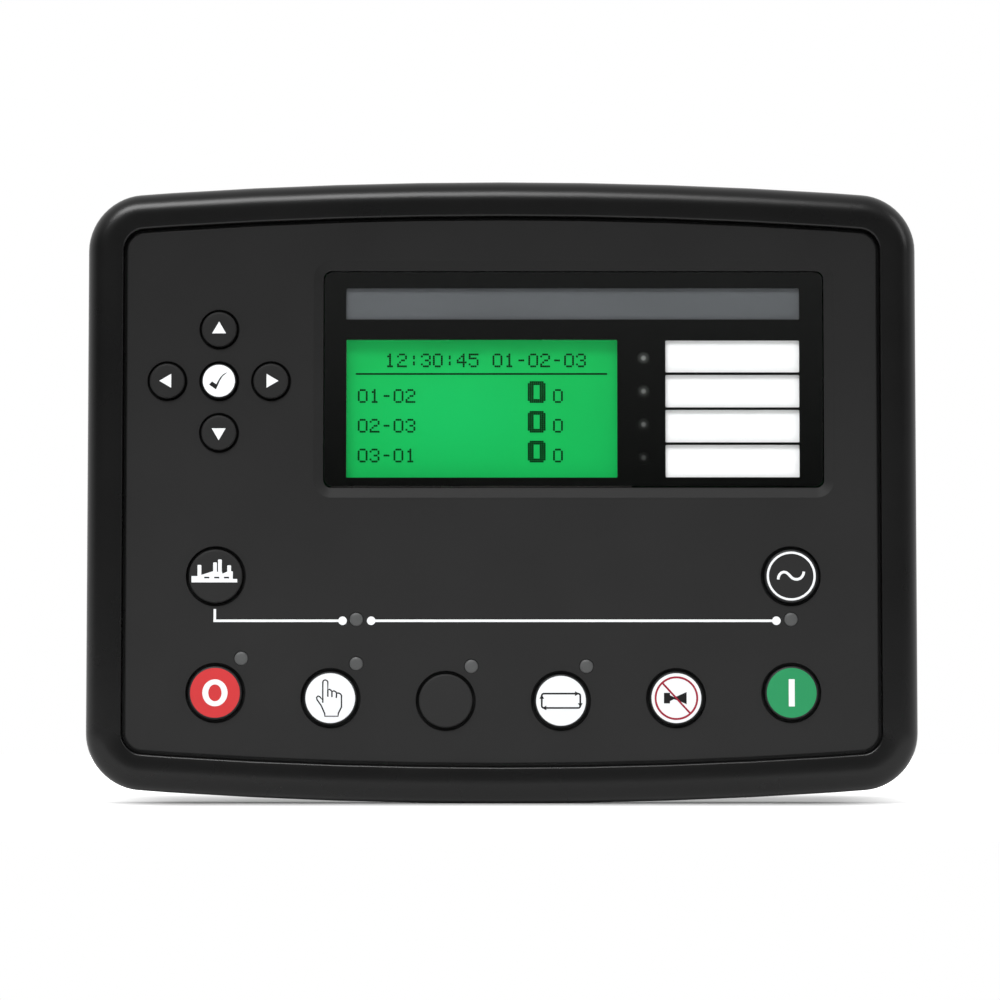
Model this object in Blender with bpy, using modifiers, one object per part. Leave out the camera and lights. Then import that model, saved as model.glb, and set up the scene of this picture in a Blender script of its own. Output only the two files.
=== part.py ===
"""Generator-set controller that is mounted in a panel door.

The pieces are modelled in the panel's own frame: x across, y up and z forward, out of the panel,
with the origin in the middle of the panel cut-out, on the panel's front face. One empty turns that
frame so that the controller stands upright and faces -Y in the world. All sizes are in metres.
"""

import math

import bmesh
import bpy

# The cut-out in the panel and the bezel that covers it
CUTOUT_WIDTH = 0.2200
CUTOUT_HEIGHT = 0.1590
BEZEL_OVERLAP_SIDE = 0.0125
BEZEL_OVERLAP_TOP = 0.0125
BOW_RADIUS = 1.500
CORNER_RADIUS = 0.0168
RIM_HEIGHT = 0.0145
REAR_DEPTH = 0.0365

# Clearances
SEAT_GAP = 0.0003
CUT_MARGIN = 0.0010
JOIN_DEPTH = 0.0004

# The rolled rim and the groove inside it
SKIRT_WALL = 0.0024
SKIRT_CLEARANCE = 0.0005
ROLL_HEIGHT = 0.0053
CREST_INSET = 0.0050
INNER_LIP_DROP = 0.0008
LIP_RADIUS = 0.0006
GROOVE_INSET = 0.0107
GROOVE_WIDTH = 0.0010

# Front plates
FASCIA_RECESS = 0.0018
FASCIA_THICKNESS = 0.0013
FASCIA_EDGE = 0.00025
CARRIER_THICKNESS = 0.0025

# Window, its bevelled surround and what is seen through it
WINDOW_TO_NAV = 0.0307
WINDOW_TO_KEYS = 0.0264
WINDOW_RIGHT_INSET = 0.0156
WINDOW_TOP_INSET = 0.0151
WINDOW_CORNER = 0.0024
WINDOW_BEVEL_WIDTH = 0.0030
WINDOW_BEVEL_DEPTH = 0.0007
LENS_THICKNESS = 0.0015
VIEW_SIDE_INSET = 0.0067
VIEW_BOTTOM_INSET = 0.0030
LABEL_VIEW_WIDTH = 0.0397
BAND_VIEW_HEIGHT = 0.0095
BAND_TOP_INSET = 0.0048
BAND_TO_VIEWS = 0.0058
CARD_MARGIN = 0.0009
CARD_THICKNESS = 0.0004
LCD_APERTURE_MARGIN = 0.0005

# Display module
LCD_BORDER = 0.0043
LCD_FRAME_WALL = 0.0005
LCD_GLASS_THICKNESS = 0.0021

# Alarm lights
ALARM_LED_RADIUS = 0.0015
ALARM_LED_FLANGE = 0.00035
ALARM_LED_COLLAR = 0.0009
ALARM_LIGHTS = 4
ALARM_LED_END_INSET = 0.0057
ALARM_LED_TO_LABEL = 0.0069
ALARM_LED_TO_LCD = 0.0077
ALARM_LED_SETBACK = 0.0003

# Keys
KEY_RADIUS = 0.00787
NAV_KEY_RADIUS = 0.00515
KEY_RING_GAP = 0.0009
NAV_RING_GAP = 0.0006
KEY_PROUD = 0.0016
KEY_EDGE = 0.0005
KEY_FLANGE = 0.0009
KEY_FLANGE_THICKNESS = 0.0010
KEY_TRAVEL = 0.0010
KEY_COLUMN_INSET = 0.02615
KEYS_OFFSET = 0.00045
KEY_ROW_INSET = 0.0300
KEY_RISE = 0.0343
NAV_INSET = 0.02735
NAV_DROP = 0.0008
NAV_PITCH = 0.0153
ROW_KEYS = ("stop", "manual", "test", "auto", "mute", "start")

# Rubber mat behind the keys
PAD_RADIUS = 0.0030
PAD_HEIGHT = 0.0013
MAT_THICKNESS = 0.0012
MAT_MARGIN = 0.0025
MAT_CORNER = 0.0020

# Light pipes
PIPE_RADIUS = 0.00198
PIPE_FLANGE = 0.0008
PIPE_FLANGE_THICKNESS = 0.0010
PIPE_TO_KEY = 0.00107
PIPE_ANGLE = math.radians(53.5)
LOAD_PIPE_RISE = 0.0127

# Circuit boards
BOARD_THICKNESS = 0.0016
BOARD_CLEARANCE = 0.0012
MAIN_BOARD_STANDOFF = 0.0044
STACK_CONNECTOR_WIDTH = 0.0420
STACK_CONNECTOR_HEIGHT = 0.0050
STACK_CONNECTOR_X = 0.0200
STACK_CONNECTOR_Y = -0.0300

# Rear housing
CUTOUT_PLAY = 0.00075
HOUSING_CORNER = 0.0030
HOUSING_WALL = 0.0020
HOUSING_DRAFT = 0.0003
SHELF_DEPTH = 0.0240
SHELF_BAND = 0.03075
HUMP_CORNER = 0.0020
HUMP_EDGE = 0.0010
FLANGE_THICKNESS = 0.0017

# Gasket
GASKET_THICKNESS = 0.0015
GASKET_INNER_MARGIN = 0.0010
GASKET_EDGE_MARGIN = 0.0015

# Screws, bosses and pillars
SCREW_INSET = 0.0067
SCREW_RADIUS = 0.0013
SCREW_LENGTH = 0.0110
SCREW_HEAD_RADIUS = 0.0027
SCREW_HEAD_HEIGHT = 0.0021
BOSS_RADIUS = 0.0034
BOSS_SHOULDER_RADIUS = 0.0046
BOSS_END_DEPTH = 0.0012
PILLAR_WALL = 0.0014
PILLAR_FLOOR = 0.0022
PILLAR_SHOULDER = 0.0014
WELL_CLEARANCE = 0.0005

# Vents and clip slots
VENT_WIDTH = 0.0022
VENT_END_WALL = 0.00275
VENT_PITCH = 0.0110
VENT_COUNT = 12
CLIP_SLOT_WIDTH = 0.0030
CLIP_SLOT_LENGTH = 0.0080
CLIP_SLOT_SPACING = 0.0100
CLIP_SLOT_INSET = 0.0390
CLIP_SLOT_DEPTH = 0.0120

# Plug-in terminals and their headers
CONNECTOR_LINE = 0.0150
CONNECTOR_SIDE_INSET = 0.0085
TERMINAL_PITCH = 0.00508
NOSE_HEIGHT = 0.0064
HEADER_WALL = 0.0008
HEADER_FLOOR = 0.0017
HEADER_PROUD = 0.0021
PLUG_HEIGHT = 0.0110
PLUG_DEPTH = 0.0095
PLUG_EDGE = 0.0006
WIRE_ENTRY = 0.0026
WIRE_ENTRY_DEPTH = 0.0050
WIRE_ENTRY_OFFSET = 0.0018
UPPER_ROW = (("plug_dc_supply", 5), ("plug_sender_inputs", 4), ("plug_data_bus", 4),
             ("serial_socket", 0), ("usb_socket", 0), ("ethernet_socket", 0))
LOWER_ROW = (("plug_digital_inputs", 6), ("plug_relay_outputs", 5), ("plug_current", 5),
             ("plug_generator_volts", 4), ("plug_bus_volts", 4))

# Sockets
ETHERNET_WIDTH = 0.0160
ETHERNET_HEIGHT = 0.0134
ETHERNET_DEPTH = 0.0140
ETHERNET_MOUTH_WIDTH = 0.0118
ETHERNET_MOUTH_HEIGHT = 0.0068
ETHERNET_MOUTH_DEPTH = 0.0115
ETHERNET_LATCH_WIDTH = 0.0062
ETHERNET_LATCH_HEIGHT = 0.0028
USB_WIDTH = 0.0120
USB_HEIGHT = 0.0110
USB_DEPTH = 0.0120
USB_MOUTH_WIDTH = 0.0084
USB_MOUTH_HEIGHT = 0.0078
USB_MOUTH_DEPTH = 0.0088
USB_TONGUE_WIDTH = 0.0056
USB_TONGUE_HEIGHT = 0.0032
SERIAL_FLANGE_HEIGHT = 0.0125
SERIAL_BODY_DEPTH = 0.0075
SERIAL_FLANGE_THICKNESS = 0.0010
SERIAL_SHROUD_WIDTH = 0.0169
SERIAL_SHROUD_HEIGHT = 0.0083
SERIAL_SHROUD_TAPER = 0.0010
SERIAL_SHROUD_LENGTH = 0.0058
SERIAL_SHROUD_WALL = 0.0005
SERIAL_PIN_RADIUS = 0.0005
SERIAL_PIN_LENGTH = 0.0048
SERIAL_PIN_PITCH = 0.00277
SERIAL_ROW_SPACING = 0.00284
SERIAL_NUT_RADIUS = 0.0026
SERIAL_NUT_HEIGHT = 0.0050
SERIAL_NUT_GAP = 0.00145
SERIAL_NUT_MARGIN = 0.0003

# Parts soldered to the main board
RELAY_WIDTH = 0.0180
RELAY_HEIGHT = 0.0150
RELAY_PITCH = 0.0260
RELAY_COUNT = 4
RELAY_SIDE_INSET = 0.0290
RELAY_Y = -0.0200
CAPACITOR_RADIUS = 0.0063
CAPACITOR_PITCH = 0.0200
CAPACITOR_SIDE_INSET = 0.0420
CAPACITOR_Y = 0.0200
HUMP_HEADROOM = 0.0026

# Facets
CORNER_STEPS = 5
BOW_STEPS = 6
ROLL_STEPS = 4
ROUND_STEPS = 22
NAV_ROUND_STEPS = 18
SMALL_ROUND_STEPS = 10
PAD_STEPS = 8
SMALL_CORNER_STEPS = 3

# Heights in front of the panel that follow from the sizes above
ROLL_START = RIM_HEIGHT - ROLL_HEIGHT
FASCIA_FACE = RIM_HEIGHT - FASCIA_RECESS
CARRIER_FACE = FASCIA_FACE - FASCIA_THICKNESS - SEAT_GAP
CARRIER_BACK = CARRIER_FACE - CARRIER_THICKNESS
LENS_FACE = FASCIA_FACE - WINDOW_BEVEL_DEPTH
LENS_BACK = LENS_FACE - LENS_THICKNESS
LENS_LEDGE = LENS_BACK - SEAT_GAP
CARD_FACE = LENS_BACK - SEAT_GAP
CARD_BACK = CARD_FACE - CARD_THICKNESS
CARD_FLOOR = CARD_BACK - SEAT_GAP
KEY_FACE = FASCIA_FACE + KEY_PROUD
KEY_FLANGE_TOP = CARRIER_BACK - SEAT_GAP
KEY_BACK = KEY_FLANGE_TOP - KEY_FLANGE_THICKNESS
PAD_TOP = KEY_BACK - KEY_TRAVEL - SEAT_GAP
MAT_TOP = PAD_TOP - PAD_HEIGHT
MAT_BACK = MAT_TOP - MAT_THICKNESS
BOARD_FACE = MAT_BACK - SEAT_GAP
BOARD_BACK = BOARD_FACE - BOARD_THICKNESS
FLANGE_BACK = GASKET_THICKNESS + SEAT_GAP
FLANGE_FACE = FLANGE_BACK + FLANGE_THICKNESS

# Heights behind the panel, which count as negative
BOSS_END = -BOSS_END_DEPTH
PILLAR_END = BOSS_END - SEAT_GAP
WELL_FLOOR = PILLAR_END - PILLAR_FLOOR
SHELF_BACK = -SHELF_DEPTH
HUMP_BACK = -REAR_DEPTH
MAIN_BACK = SHELF_BACK + HOUSING_WALL + MAIN_BOARD_STANDOFF
MAIN_FACE = MAIN_BACK + BOARD_THICKNESS
SOCKET_FOOT = MAIN_BACK - SEAT_GAP
BOARD_PART_TOP = HUMP_BACK + HOUSING_WALL + HUMP_HEADROOM
HEADER_BACK = SHELF_BACK - HEADER_PROUD
SERIAL_NUT_X = SERIAL_SHROUD_WIDTH / 2 + SERIAL_NUT_GAP + SERIAL_NUT_RADIUS
SERIAL_FLANGE_WIDTH = 2 * (SERIAL_NUT_X + SERIAL_NUT_RADIUS + SERIAL_NUT_MARGIN)

# Outline sizes that follow from the sizes above
BEZEL_WIDTH = CUTOUT_WIDTH + 2 * BEZEL_OVERLAP_SIDE
BEZEL_HEIGHT = CUTOUT_HEIGHT + 2 * BEZEL_OVERLAP_TOP
FASCIA_INSET = GROOVE_INSET + GROOVE_WIDTH
FASCIA_HALF_WIDTH = BEZEL_WIDTH / 2 - FASCIA_INSET
FASCIA_HALF_HEIGHT = BEZEL_HEIGHT / 2 - FASCIA_INSET
HOUSING_WIDTH = CUTOUT_WIDTH - 2 * CUTOUT_PLAY
HOUSING_HEIGHT = CUTOUT_HEIGHT - 2 * CUTOUT_PLAY
HUMP_HALF_HEIGHT = HOUSING_HEIGHT / 2 - SHELF_BAND
CAVITY_WIDTH = HOUSING_WIDTH - 2 * HOUSING_WALL
CAVITY_HEIGHT = HOUSING_HEIGHT - 2 * HOUSING_WALL
BOARD_WIDTH = CAVITY_WIDTH - 2 * (BOARD_CLEARANCE + HOUSING_DRAFT)
BOARD_HEIGHT = CAVITY_HEIGHT - 2 * (BOARD_CLEARANCE + HOUSING_DRAFT)
SCREW_X = CAVITY_WIDTH / 2 - SCREW_INSET
SCREW_Y = CAVITY_HEIGHT / 2 - SCREW_INSET
SCREW_PLACES = ((SCREW_X, SCREW_Y), (-SCREW_X, SCREW_Y), (-SCREW_X, -SCREW_Y), (SCREW_X, -SCREW_Y))
WELL_RADIUS = SCREW_HEAD_RADIUS + WELL_CLEARANCE
PILLAR_RADIUS = WELL_RADIUS + PILLAR_WALL
SHOULDER_RADIUS = PILLAR_RADIUS + PILLAR_SHOULDER


def bow_height(x, inset):
    """Height of the bowed top edge above the middle, moved inwards, at a place across."""
    return BEZEL_HEIGHT / 2 - BOW_RADIUS + math.sqrt((BOW_RADIUS - inset) ** 2 - x ** 2)


# Places on the front, as (x, y)
KEY_COLUMN_X = FASCIA_HALF_WIDTH - KEY_COLUMN_INSET
END_KEYS_Y = KEY_RISE - bow_height(KEY_COLUMN_X, KEY_ROW_INSET)
NAV_X = NAV_INSET - FASCIA_HALF_WIDTH
WINDOW_LEFT = NAV_X + WINDOW_TO_NAV
WINDOW_RIGHT = FASCIA_HALF_WIDTH - WINDOW_RIGHT_INSET
WINDOW_BOTTOM = END_KEYS_Y + WINDOW_TO_KEYS
WINDOW_TOP = FASCIA_HALF_HEIGHT - WINDOW_TOP_INSET
WINDOW_WIDTH = WINDOW_RIGHT - WINDOW_LEFT
WINDOW_HEIGHT = WINDOW_TOP - WINDOW_BOTTOM
WINDOW_CENTRE = ((WINDOW_LEFT + WINDOW_RIGHT) / 2, (WINDOW_BOTTOM + WINDOW_TOP) / 2)
LABEL_LEFT = WINDOW_RIGHT - VIEW_SIDE_INSET - LABEL_VIEW_WIDTH
ALARM_X = LABEL_LEFT - ALARM_LED_TO_LABEL
LCD_LEFT = WINDOW_LEFT + VIEW_SIDE_INSET
LCD_VIEW_WIDTH = ALARM_X - ALARM_LED_TO_LCD - LCD_LEFT
VIEW_BOTTOM = WINDOW_BOTTOM + VIEW_BOTTOM_INSET
VIEW_TOP = WINDOW_TOP - BAND_TOP_INSET - BAND_VIEW_HEIGHT - BAND_TO_VIEWS
VIEW_HEIGHT = VIEW_TOP - VIEW_BOTTOM
VIEW_CENTRE_Y = (VIEW_BOTTOM + VIEW_TOP) / 2
LCD_CENTRE = (LCD_LEFT + LCD_VIEW_WIDTH / 2, VIEW_CENTRE_Y)
LCD_FRAME_SIZE = (LCD_VIEW_WIDTH + 2 * LCD_BORDER, VIEW_HEIGHT + 2 * LCD_BORDER)
LABEL_CENTRE = (LABEL_LEFT + LABEL_VIEW_WIDTH / 2, VIEW_CENTRE_Y)
LABEL_SIZE = (LABEL_VIEW_WIDTH + 2 * CARD_MARGIN, VIEW_HEIGHT + 2 * CARD_MARGIN)
BAND_CENTRE = (WINDOW_CENTRE[0], WINDOW_TOP - BAND_TOP_INSET - BAND_VIEW_HEIGHT / 2)
BAND_SIZE = (WINDOW_WIDTH - 2 * VIEW_SIDE_INSET + 2 * CARD_MARGIN, BAND_VIEW_HEIGHT + 2 * CARD_MARGIN)
ALARM_LED_PITCH = (VIEW_HEIGHT - 2 * ALARM_LED_END_INSET) / (ALARM_LIGHTS - 1)

# Colours as sRGB bytes, with roughness and metallic value
BLACK_MOULDING = ((30, 31, 33), 0.42, 0.0)
FASCIA_GREY = ((47, 48, 50), 0.75, 0.0)
WINDOW_BLACK = ((16, 17, 18), 0.06, 0.0)
CARD_WHITE = ((226, 227, 228), 0.6, 0.0)
BAND_GREY = ((86, 90, 95), 0.6, 0.0)
LCD_GREEN = ((26, 175, 88), 0.3, 0.0)
STEEL = ((150, 152, 155), 0.35, 1.0)
CLEAR_WHITE = ((230, 232, 230), 0.3, 0.0)
KEY_BLACK = ((22, 22, 24), 0.5, 0.0)
KEY_WHITE = ((232, 232, 233), 0.5, 0.0)
KEY_RED = ((214, 56, 62), 0.5, 0.0)
KEY_GREEN = ((52, 156, 96), 0.5, 0.0)
RUBBER_GREY = ((70, 72, 74), 0.85, 0.0)
PIPE_GREY = ((90, 90, 91), 0.35, 0.0)
BOARD_GREEN = ((24, 84, 48), 0.45, 0.0)
CONNECTOR_BLACK = ((26, 26, 27), 0.55, 0.0)
PLUG_GREEN = ((34, 132, 72), 0.5, 0.0)
RELAY_BLUE = ((38, 74, 128), 0.4, 0.0)
CAPACITOR_BLACK = ((34, 34, 40), 0.4, 0.0)
KEY_COLOURS = {"stop": KEY_RED, "start": KEY_GREEN, "manual": KEY_WHITE, "auto": KEY_WHITE,
               "mute": KEY_WHITE}


def start_scene():
    """Empty the scene and return the two collections and the empty that turns the panel's frame."""
    for old in list(bpy.data.objects):
        bpy.data.objects.remove(old, do_unlink=True)
    parts = bpy.data.collections.new("genset_controller")
    cutters = bpy.data.collections.new("cutters")
    bpy.context.scene.collection.children.link(parts)
    bpy.context.scene.collection.children.link(cutters)
    panel = bpy.data.objects.new("panel_frame", None)
    panel.rotation_euler = (math.pi / 2, 0, 0)
    parts.objects.link(panel)
    return parts, cutters, panel


PARTS, CUTTERS, PANEL = start_scene()


def to_linear(byte):
    """Turn one sRGB byte into the linear value that a shader takes."""
    value = byte / 255
    return value / 12.92 if value <= 0.04045 else ((value + 0.055) / 1.055) ** 2.4


def give_finish(piece, finish):
    """Give a piece its own material from (colour, roughness, metallic)."""
    colour, roughness, metallic = finish
    material = bpy.data.materials.new(piece.name + "_finish")
    material.use_nodes = True
    shader = material.node_tree.nodes["Principled BSDF"]
    shader.inputs["Base Color"].default_value = (*[to_linear(c) for c in colour], 1)
    shader.inputs["Roughness"].default_value = roughness
    shader.inputs["Metallic"].default_value = metallic
    piece.data.materials.append(material)


def add_object(name, shape, collection, place=(0, 0, 0)):
    """Turn a bmesh into an object in the panel's frame."""
    bmesh.ops.recalc_face_normals(shape, faces=shape.faces)
    mesh = bpy.data.meshes.new(name)
    shape.to_mesh(mesh)
    shape.free()
    piece = bpy.data.objects.new(name, mesh)
    piece.location = place
    piece.parent = PANEL
    collection.objects.link(piece)
    return piece


def add_piece(name, shape, finish, place=(0, 0, 0)):
    """Add one piece of the controller."""
    piece = add_object(name, shape, PARTS, place)
    give_finish(piece, finish)
    return piece


def combine(piece, operation, shape, label):
    """Cut a shape from a piece, or join it to the piece."""
    tool = add_object(piece.name + "_" + label, shape, CUTTERS)
    tool.hide_render = True
    tool.display_type = "WIRE"
    boolean = piece.modifiers.new(label, "BOOLEAN")
    boolean.operation = operation
    boolean.solver = "EXACT"
    boolean.object = tool


def loft(shape, rings):
    """Join rings of equally many points into one closed body, with a flat face at each end."""
    loops = [[shape.verts.new(point) for point in ring] for ring in rings]
    count = len(loops[0])
    for lower, upper in zip(loops, loops[1:]):
        for i in range(count):
            j = (i + 1) % count
            shape.faces.new((lower[i], lower[j], upper[j], upper[i]))
    shape.faces.new(list(reversed(loops[0])))
    shape.faces.new(loops[-1])


def at_height(outline, height):
    """Lift a flat outline to a height in front of the panel."""
    return [(x, y, height) for x, y in outline]


def prism(shape, outline, low, high):
    """Add a straight body over an outline."""
    loft(shape, [at_height(outline, low), at_height(outline, high)])


def drum(shape, centre, radius, low, high, steps=SMALL_ROUND_STEPS):
    """Add a cylinder that stands forward from the panel."""
    made = bmesh.ops.create_cone(shape, cap_ends=True, segments=steps, radius1=radius, radius2=radius,
                                 depth=high - low)
    bmesh.ops.translate(shape, verts=made["verts"], vec=(centre[0], centre[1], (low + high) / 2))


def block(shape, centre, size, low, high):
    """Add a box that stands forward from the panel."""
    made = bmesh.ops.create_cube(shape, size=1)
    bmesh.ops.scale(shape, verts=made["verts"], vec=(size[0], size[1], high - low))
    bmesh.ops.translate(shape, verts=made["verts"], vec=(centre[0], centre[1], (low + high) / 2))


def arc(centre, radius, start, end, steps):
    """Points along an arc, with both ends."""
    angles = [start + (end - start) * i / steps for i in range(steps + 1)]
    return [(centre[0] + radius * math.cos(a), centre[1] + radius * math.sin(a)) for a in angles]


def rectangle(centre, size):
    """Outline of a rectangle, anticlockwise."""
    left, right = centre[0] - size[0] / 2, centre[0] + size[0] / 2
    low, high = centre[1] - size[1] / 2, centre[1] + size[1] / 2
    return [(left, low), (right, low), (right, high), (left, high)]


def rounded_rectangle(centre, size, radius, steps=SMALL_CORNER_STEPS):
    """Outline of a rectangle with round corners, anticlockwise."""
    dx = size[0] / 2 - radius
    dy = size[1] / 2 - radius
    points = []
    for quarter, (sx, sy) in enumerate(((1, 1), (-1, 1), (-1, -1), (1, -1))):
        start = quarter * math.pi / 2
        corner = (centre[0] + sx * dx, centre[1] + sy * dy)
        points += arc(corner, radius, start, start + math.pi / 2, steps)
    return points


def bowed_outline(inset):
    """The bezel's outline, moved inwards: straight sides, round corners, bowed top and bottom."""
    corner_x = BEZEL_WIDTH / 2 - CORNER_RADIUS
    bow_centre = BEZEL_HEIGHT / 2 - BOW_RADIUS
    corner_y = bow_centre + math.sqrt((BOW_RADIUS - CORNER_RADIUS) ** 2 - corner_x ** 2)
    lean = math.asin(corner_x / (BOW_RADIUS - CORNER_RADIUS))
    corner = arc((corner_x, corner_y), CORNER_RADIUS - inset, 0, math.pi / 2 - lean, CORNER_STEPS)
    bow = arc((0, bow_centre), BOW_RADIUS - inset, math.pi / 2 - lean, math.pi / 2 + lean, BOW_STEPS)
    left_corner = [(-x, y) for x, y in reversed(corner)]
    top = corner + bow[1:-1] + left_corner
    return top + [(x, -y) for x, y in reversed(top)]


def find_key_places():
    """Key centres by name: the arched bottom row, two keys over its ends, and the navigation pad."""
    places = {}
    for i, name in enumerate(ROW_KEYS):
        x = KEY_COLUMN_X * (2 * i / (len(ROW_KEYS) - 1) - 1)
        places[name] = (x + KEYS_OFFSET, -bow_height(x, KEY_ROW_INSET))
    places["load"] = (KEYS_OFFSET - KEY_COLUMN_X, END_KEYS_Y)
    places["generator"] = (KEYS_OFFSET + KEY_COLUMN_X, END_KEYS_Y)
    nav_y = WINDOW_CENTRE[1] - NAV_DROP
    places["select"] = (NAV_X, nav_y)
    places["up"] = (NAV_X, nav_y + NAV_PITCH)
    places["down"] = (NAV_X, nav_y - NAV_PITCH)
    places["left"] = (NAV_X - NAV_PITCH, nav_y)
    places["right"] = (NAV_X + NAV_PITCH, nav_y)
    return places


KEY_PLACES = find_key_places()
NAV_KEYS = ("select", "up", "down", "left", "right")


def key_radius(name):
    """Radius of a key cap."""
    return NAV_KEY_RADIUS if name in NAV_KEYS else KEY_RADIUS


def key_gap(name):
    """Clearance between a key cap and the fascia round it."""
    return NAV_RING_GAP if name in NAV_KEYS else KEY_RING_GAP


def key_steps(name):
    """Facets round a key cap."""
    return NAV_ROUND_STEPS if name in NAV_KEYS else ROUND_STEPS


def find_pipe_places():
    """Light pipe centres by name: beside four keys of the row, above the load key and the generator key."""
    places = {}
    reach = KEY_RADIUS + KEY_FLANGE + PIPE_RADIUS + PIPE_FLANGE + PIPE_TO_KEY
    for name in ("stop", "manual", "test", "auto"):
        x, y = KEY_PLACES[name]
        places[name] = (x + reach * math.cos(PIPE_ANGLE), y + reach * math.sin(PIPE_ANGLE))
    lower = END_KEYS_Y - LOAD_PIPE_RISE
    places["load"] = (places["manual"][0], lower)
    places["generator"] = (KEY_PLACES["generator"][0], lower)
    return places


PIPE_PLACES = find_pipe_places()


def find_alarm_places():
    """Alarm light centres, from top to bottom."""
    middle = (ALARM_LIGHTS - 1) / 2
    return [(ALARM_X, VIEW_CENTRE_Y + (middle - i) * ALARM_LED_PITCH) for i in range(ALARM_LIGHTS)]


ALARM_PLACES = find_alarm_places()


def rim_rings():
    """Rings of the bezel from the carrier's front, over the rolled rim, to the carrier's back."""
    section = [(GROOVE_INSET, CARRIER_FACE)]
    lip_top = RIM_HEIGHT - INNER_LIP_DROP
    lip_centre = (GROOVE_INSET - LIP_RADIUS, lip_top - LIP_RADIUS)
    section += arc(lip_centre, LIP_RADIUS, 0, math.pi / 2, 2)
    slope_length = lip_centre[0] - CREST_INSET
    for part in (2 / 3, 1 / 3):
        section.append((CREST_INSET + slope_length * part, RIM_HEIGHT - INNER_LIP_DROP * part ** 2))
    for i in range(ROLL_STEPS + 1):
        turn = math.pi / 2 * i / ROLL_STEPS
        section.append((CREST_INSET * (1 - math.cos(math.pi / 2 - turn)),
                        ROLL_START + ROLL_HEIGHT * math.sin(math.pi / 2 - turn)))
    section.append((0, SKIRT_CLEARANCE))
    section.append((SKIRT_WALL, SKIRT_CLEARANCE))
    for i in range(3):
        turn = math.pi / 2 * i / 2
        section.append((SKIRT_WALL + CREST_INSET * (1 - math.cos(turn)),
                        ROLL_START + (ROLL_HEIGHT - SKIRT_WALL) * math.sin(turn)))
    section.append((GROOVE_INSET - LIP_RADIUS, CARRIER_BACK))
    return [at_height(bowed_outline(inset), height) for inset, height in section]


def make_bezel():
    """Rolled rim and carrier plate in one moulding, with bosses behind it for the screws."""
    shape = bmesh.new()
    loft(shape, rim_rings())
    bezel = add_piece("front_bezel", shape, BLACK_MOULDING)

    shoulders = bmesh.new()
    for place in SCREW_PLACES:
        drum(shoulders, place, BOSS_SHOULDER_RADIUS, BOARD_FACE + SEAT_GAP, CARRIER_BACK + JOIN_DEPTH)
    combine(bezel, "UNION", shoulders, "shoulders")
    bosses = bmesh.new()
    for place in SCREW_PLACES:
        drum(bosses, place, BOSS_RADIUS, BOSS_END, BOARD_FACE + SEAT_GAP + JOIN_DEPTH)
    combine(bezel, "UNION", bosses, "bosses")

    low = CARRIER_BACK - CUT_MARGIN
    high = CARRIER_FACE + CUT_MARGIN
    holes = bmesh.new()
    for name, place in KEY_PLACES.items():
        drum(holes, place, key_radius(name) + SEAT_GAP, low, high, key_steps(name))
    for place in PIPE_PLACES.values():
        drum(holes, place, PIPE_RADIUS + SEAT_GAP, low, high)
    screw_end = WELL_FLOOR - SEAT_GAP + SCREW_LENGTH
    for place in SCREW_PLACES:
        drum(holes, place, SCREW_RADIUS + SEAT_GAP, BOSS_END - CUT_MARGIN, screw_end + SEAT_GAP)
    lens_room = (WINDOW_WIDTH, WINDOW_HEIGHT)
    prism(holes, rounded_rectangle(WINDOW_CENTRE, lens_room, WINDOW_CORNER), LENS_LEDGE, high)
    combine(bezel, "DIFFERENCE", holes, "holes")

    pockets = bmesh.new()
    for centre, size in ((LABEL_CENTRE, LABEL_SIZE), (BAND_CENTRE, BAND_SIZE)):
        room = (size[0] + 2 * SEAT_GAP, size[1] + 2 * SEAT_GAP)
        block(pockets, centre, room, CARD_FLOOR, high)
    aperture = (LCD_VIEW_WIDTH + 2 * LCD_APERTURE_MARGIN, VIEW_HEIGHT + 2 * LCD_APERTURE_MARGIN)
    block(pockets, LCD_CENTRE, aperture, low, high)
    for place in ALARM_PLACES:
        drum(pockets, place, ALARM_LED_RADIUS + SEAT_GAP, low, high)
    combine(bezel, "DIFFERENCE", pockets, "pockets")


def make_fascia():
    """Matt front plate with round holes and a window opening inside a shallow bevel."""
    back = FASCIA_FACE - FASCIA_THICKNESS
    shape = bmesh.new()
    loft(shape, [at_height(bowed_outline(FASCIA_INSET), back),
                 at_height(bowed_outline(FASCIA_INSET), FASCIA_FACE - FASCIA_EDGE),
                 at_height(bowed_outline(FASCIA_INSET + FASCIA_EDGE), FASCIA_FACE)])
    fascia = add_piece("front_fascia", shape, FASCIA_GREY)

    low = back - CUT_MARGIN
    high = FASCIA_FACE + CUT_MARGIN
    holes = bmesh.new()
    for name, place in KEY_PLACES.items():
        drum(holes, place, key_radius(name) + key_gap(name), low, high, key_steps(name))
    for place in PIPE_PLACES.values():
        drum(holes, place, PIPE_RADIUS + SEAT_GAP, low, high)
    opening = rounded_rectangle(WINDOW_CENTRE, (WINDOW_WIDTH, WINDOW_HEIGHT), WINDOW_CORNER)
    bevel_size = (WINDOW_WIDTH + 2 * WINDOW_BEVEL_WIDTH, WINDOW_HEIGHT + 2 * WINDOW_BEVEL_WIDTH)
    bevel = rounded_rectangle(WINDOW_CENTRE, bevel_size, WINDOW_CORNER + WINDOW_BEVEL_WIDTH)
    loft(holes, [at_height(opening, low), at_height(opening, FASCIA_FACE - WINDOW_BEVEL_DEPTH),
                 at_height(bevel, FASCIA_FACE), at_height(bevel, high)])
    combine(fascia, "DIFFERENCE", holes, "holes")


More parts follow.
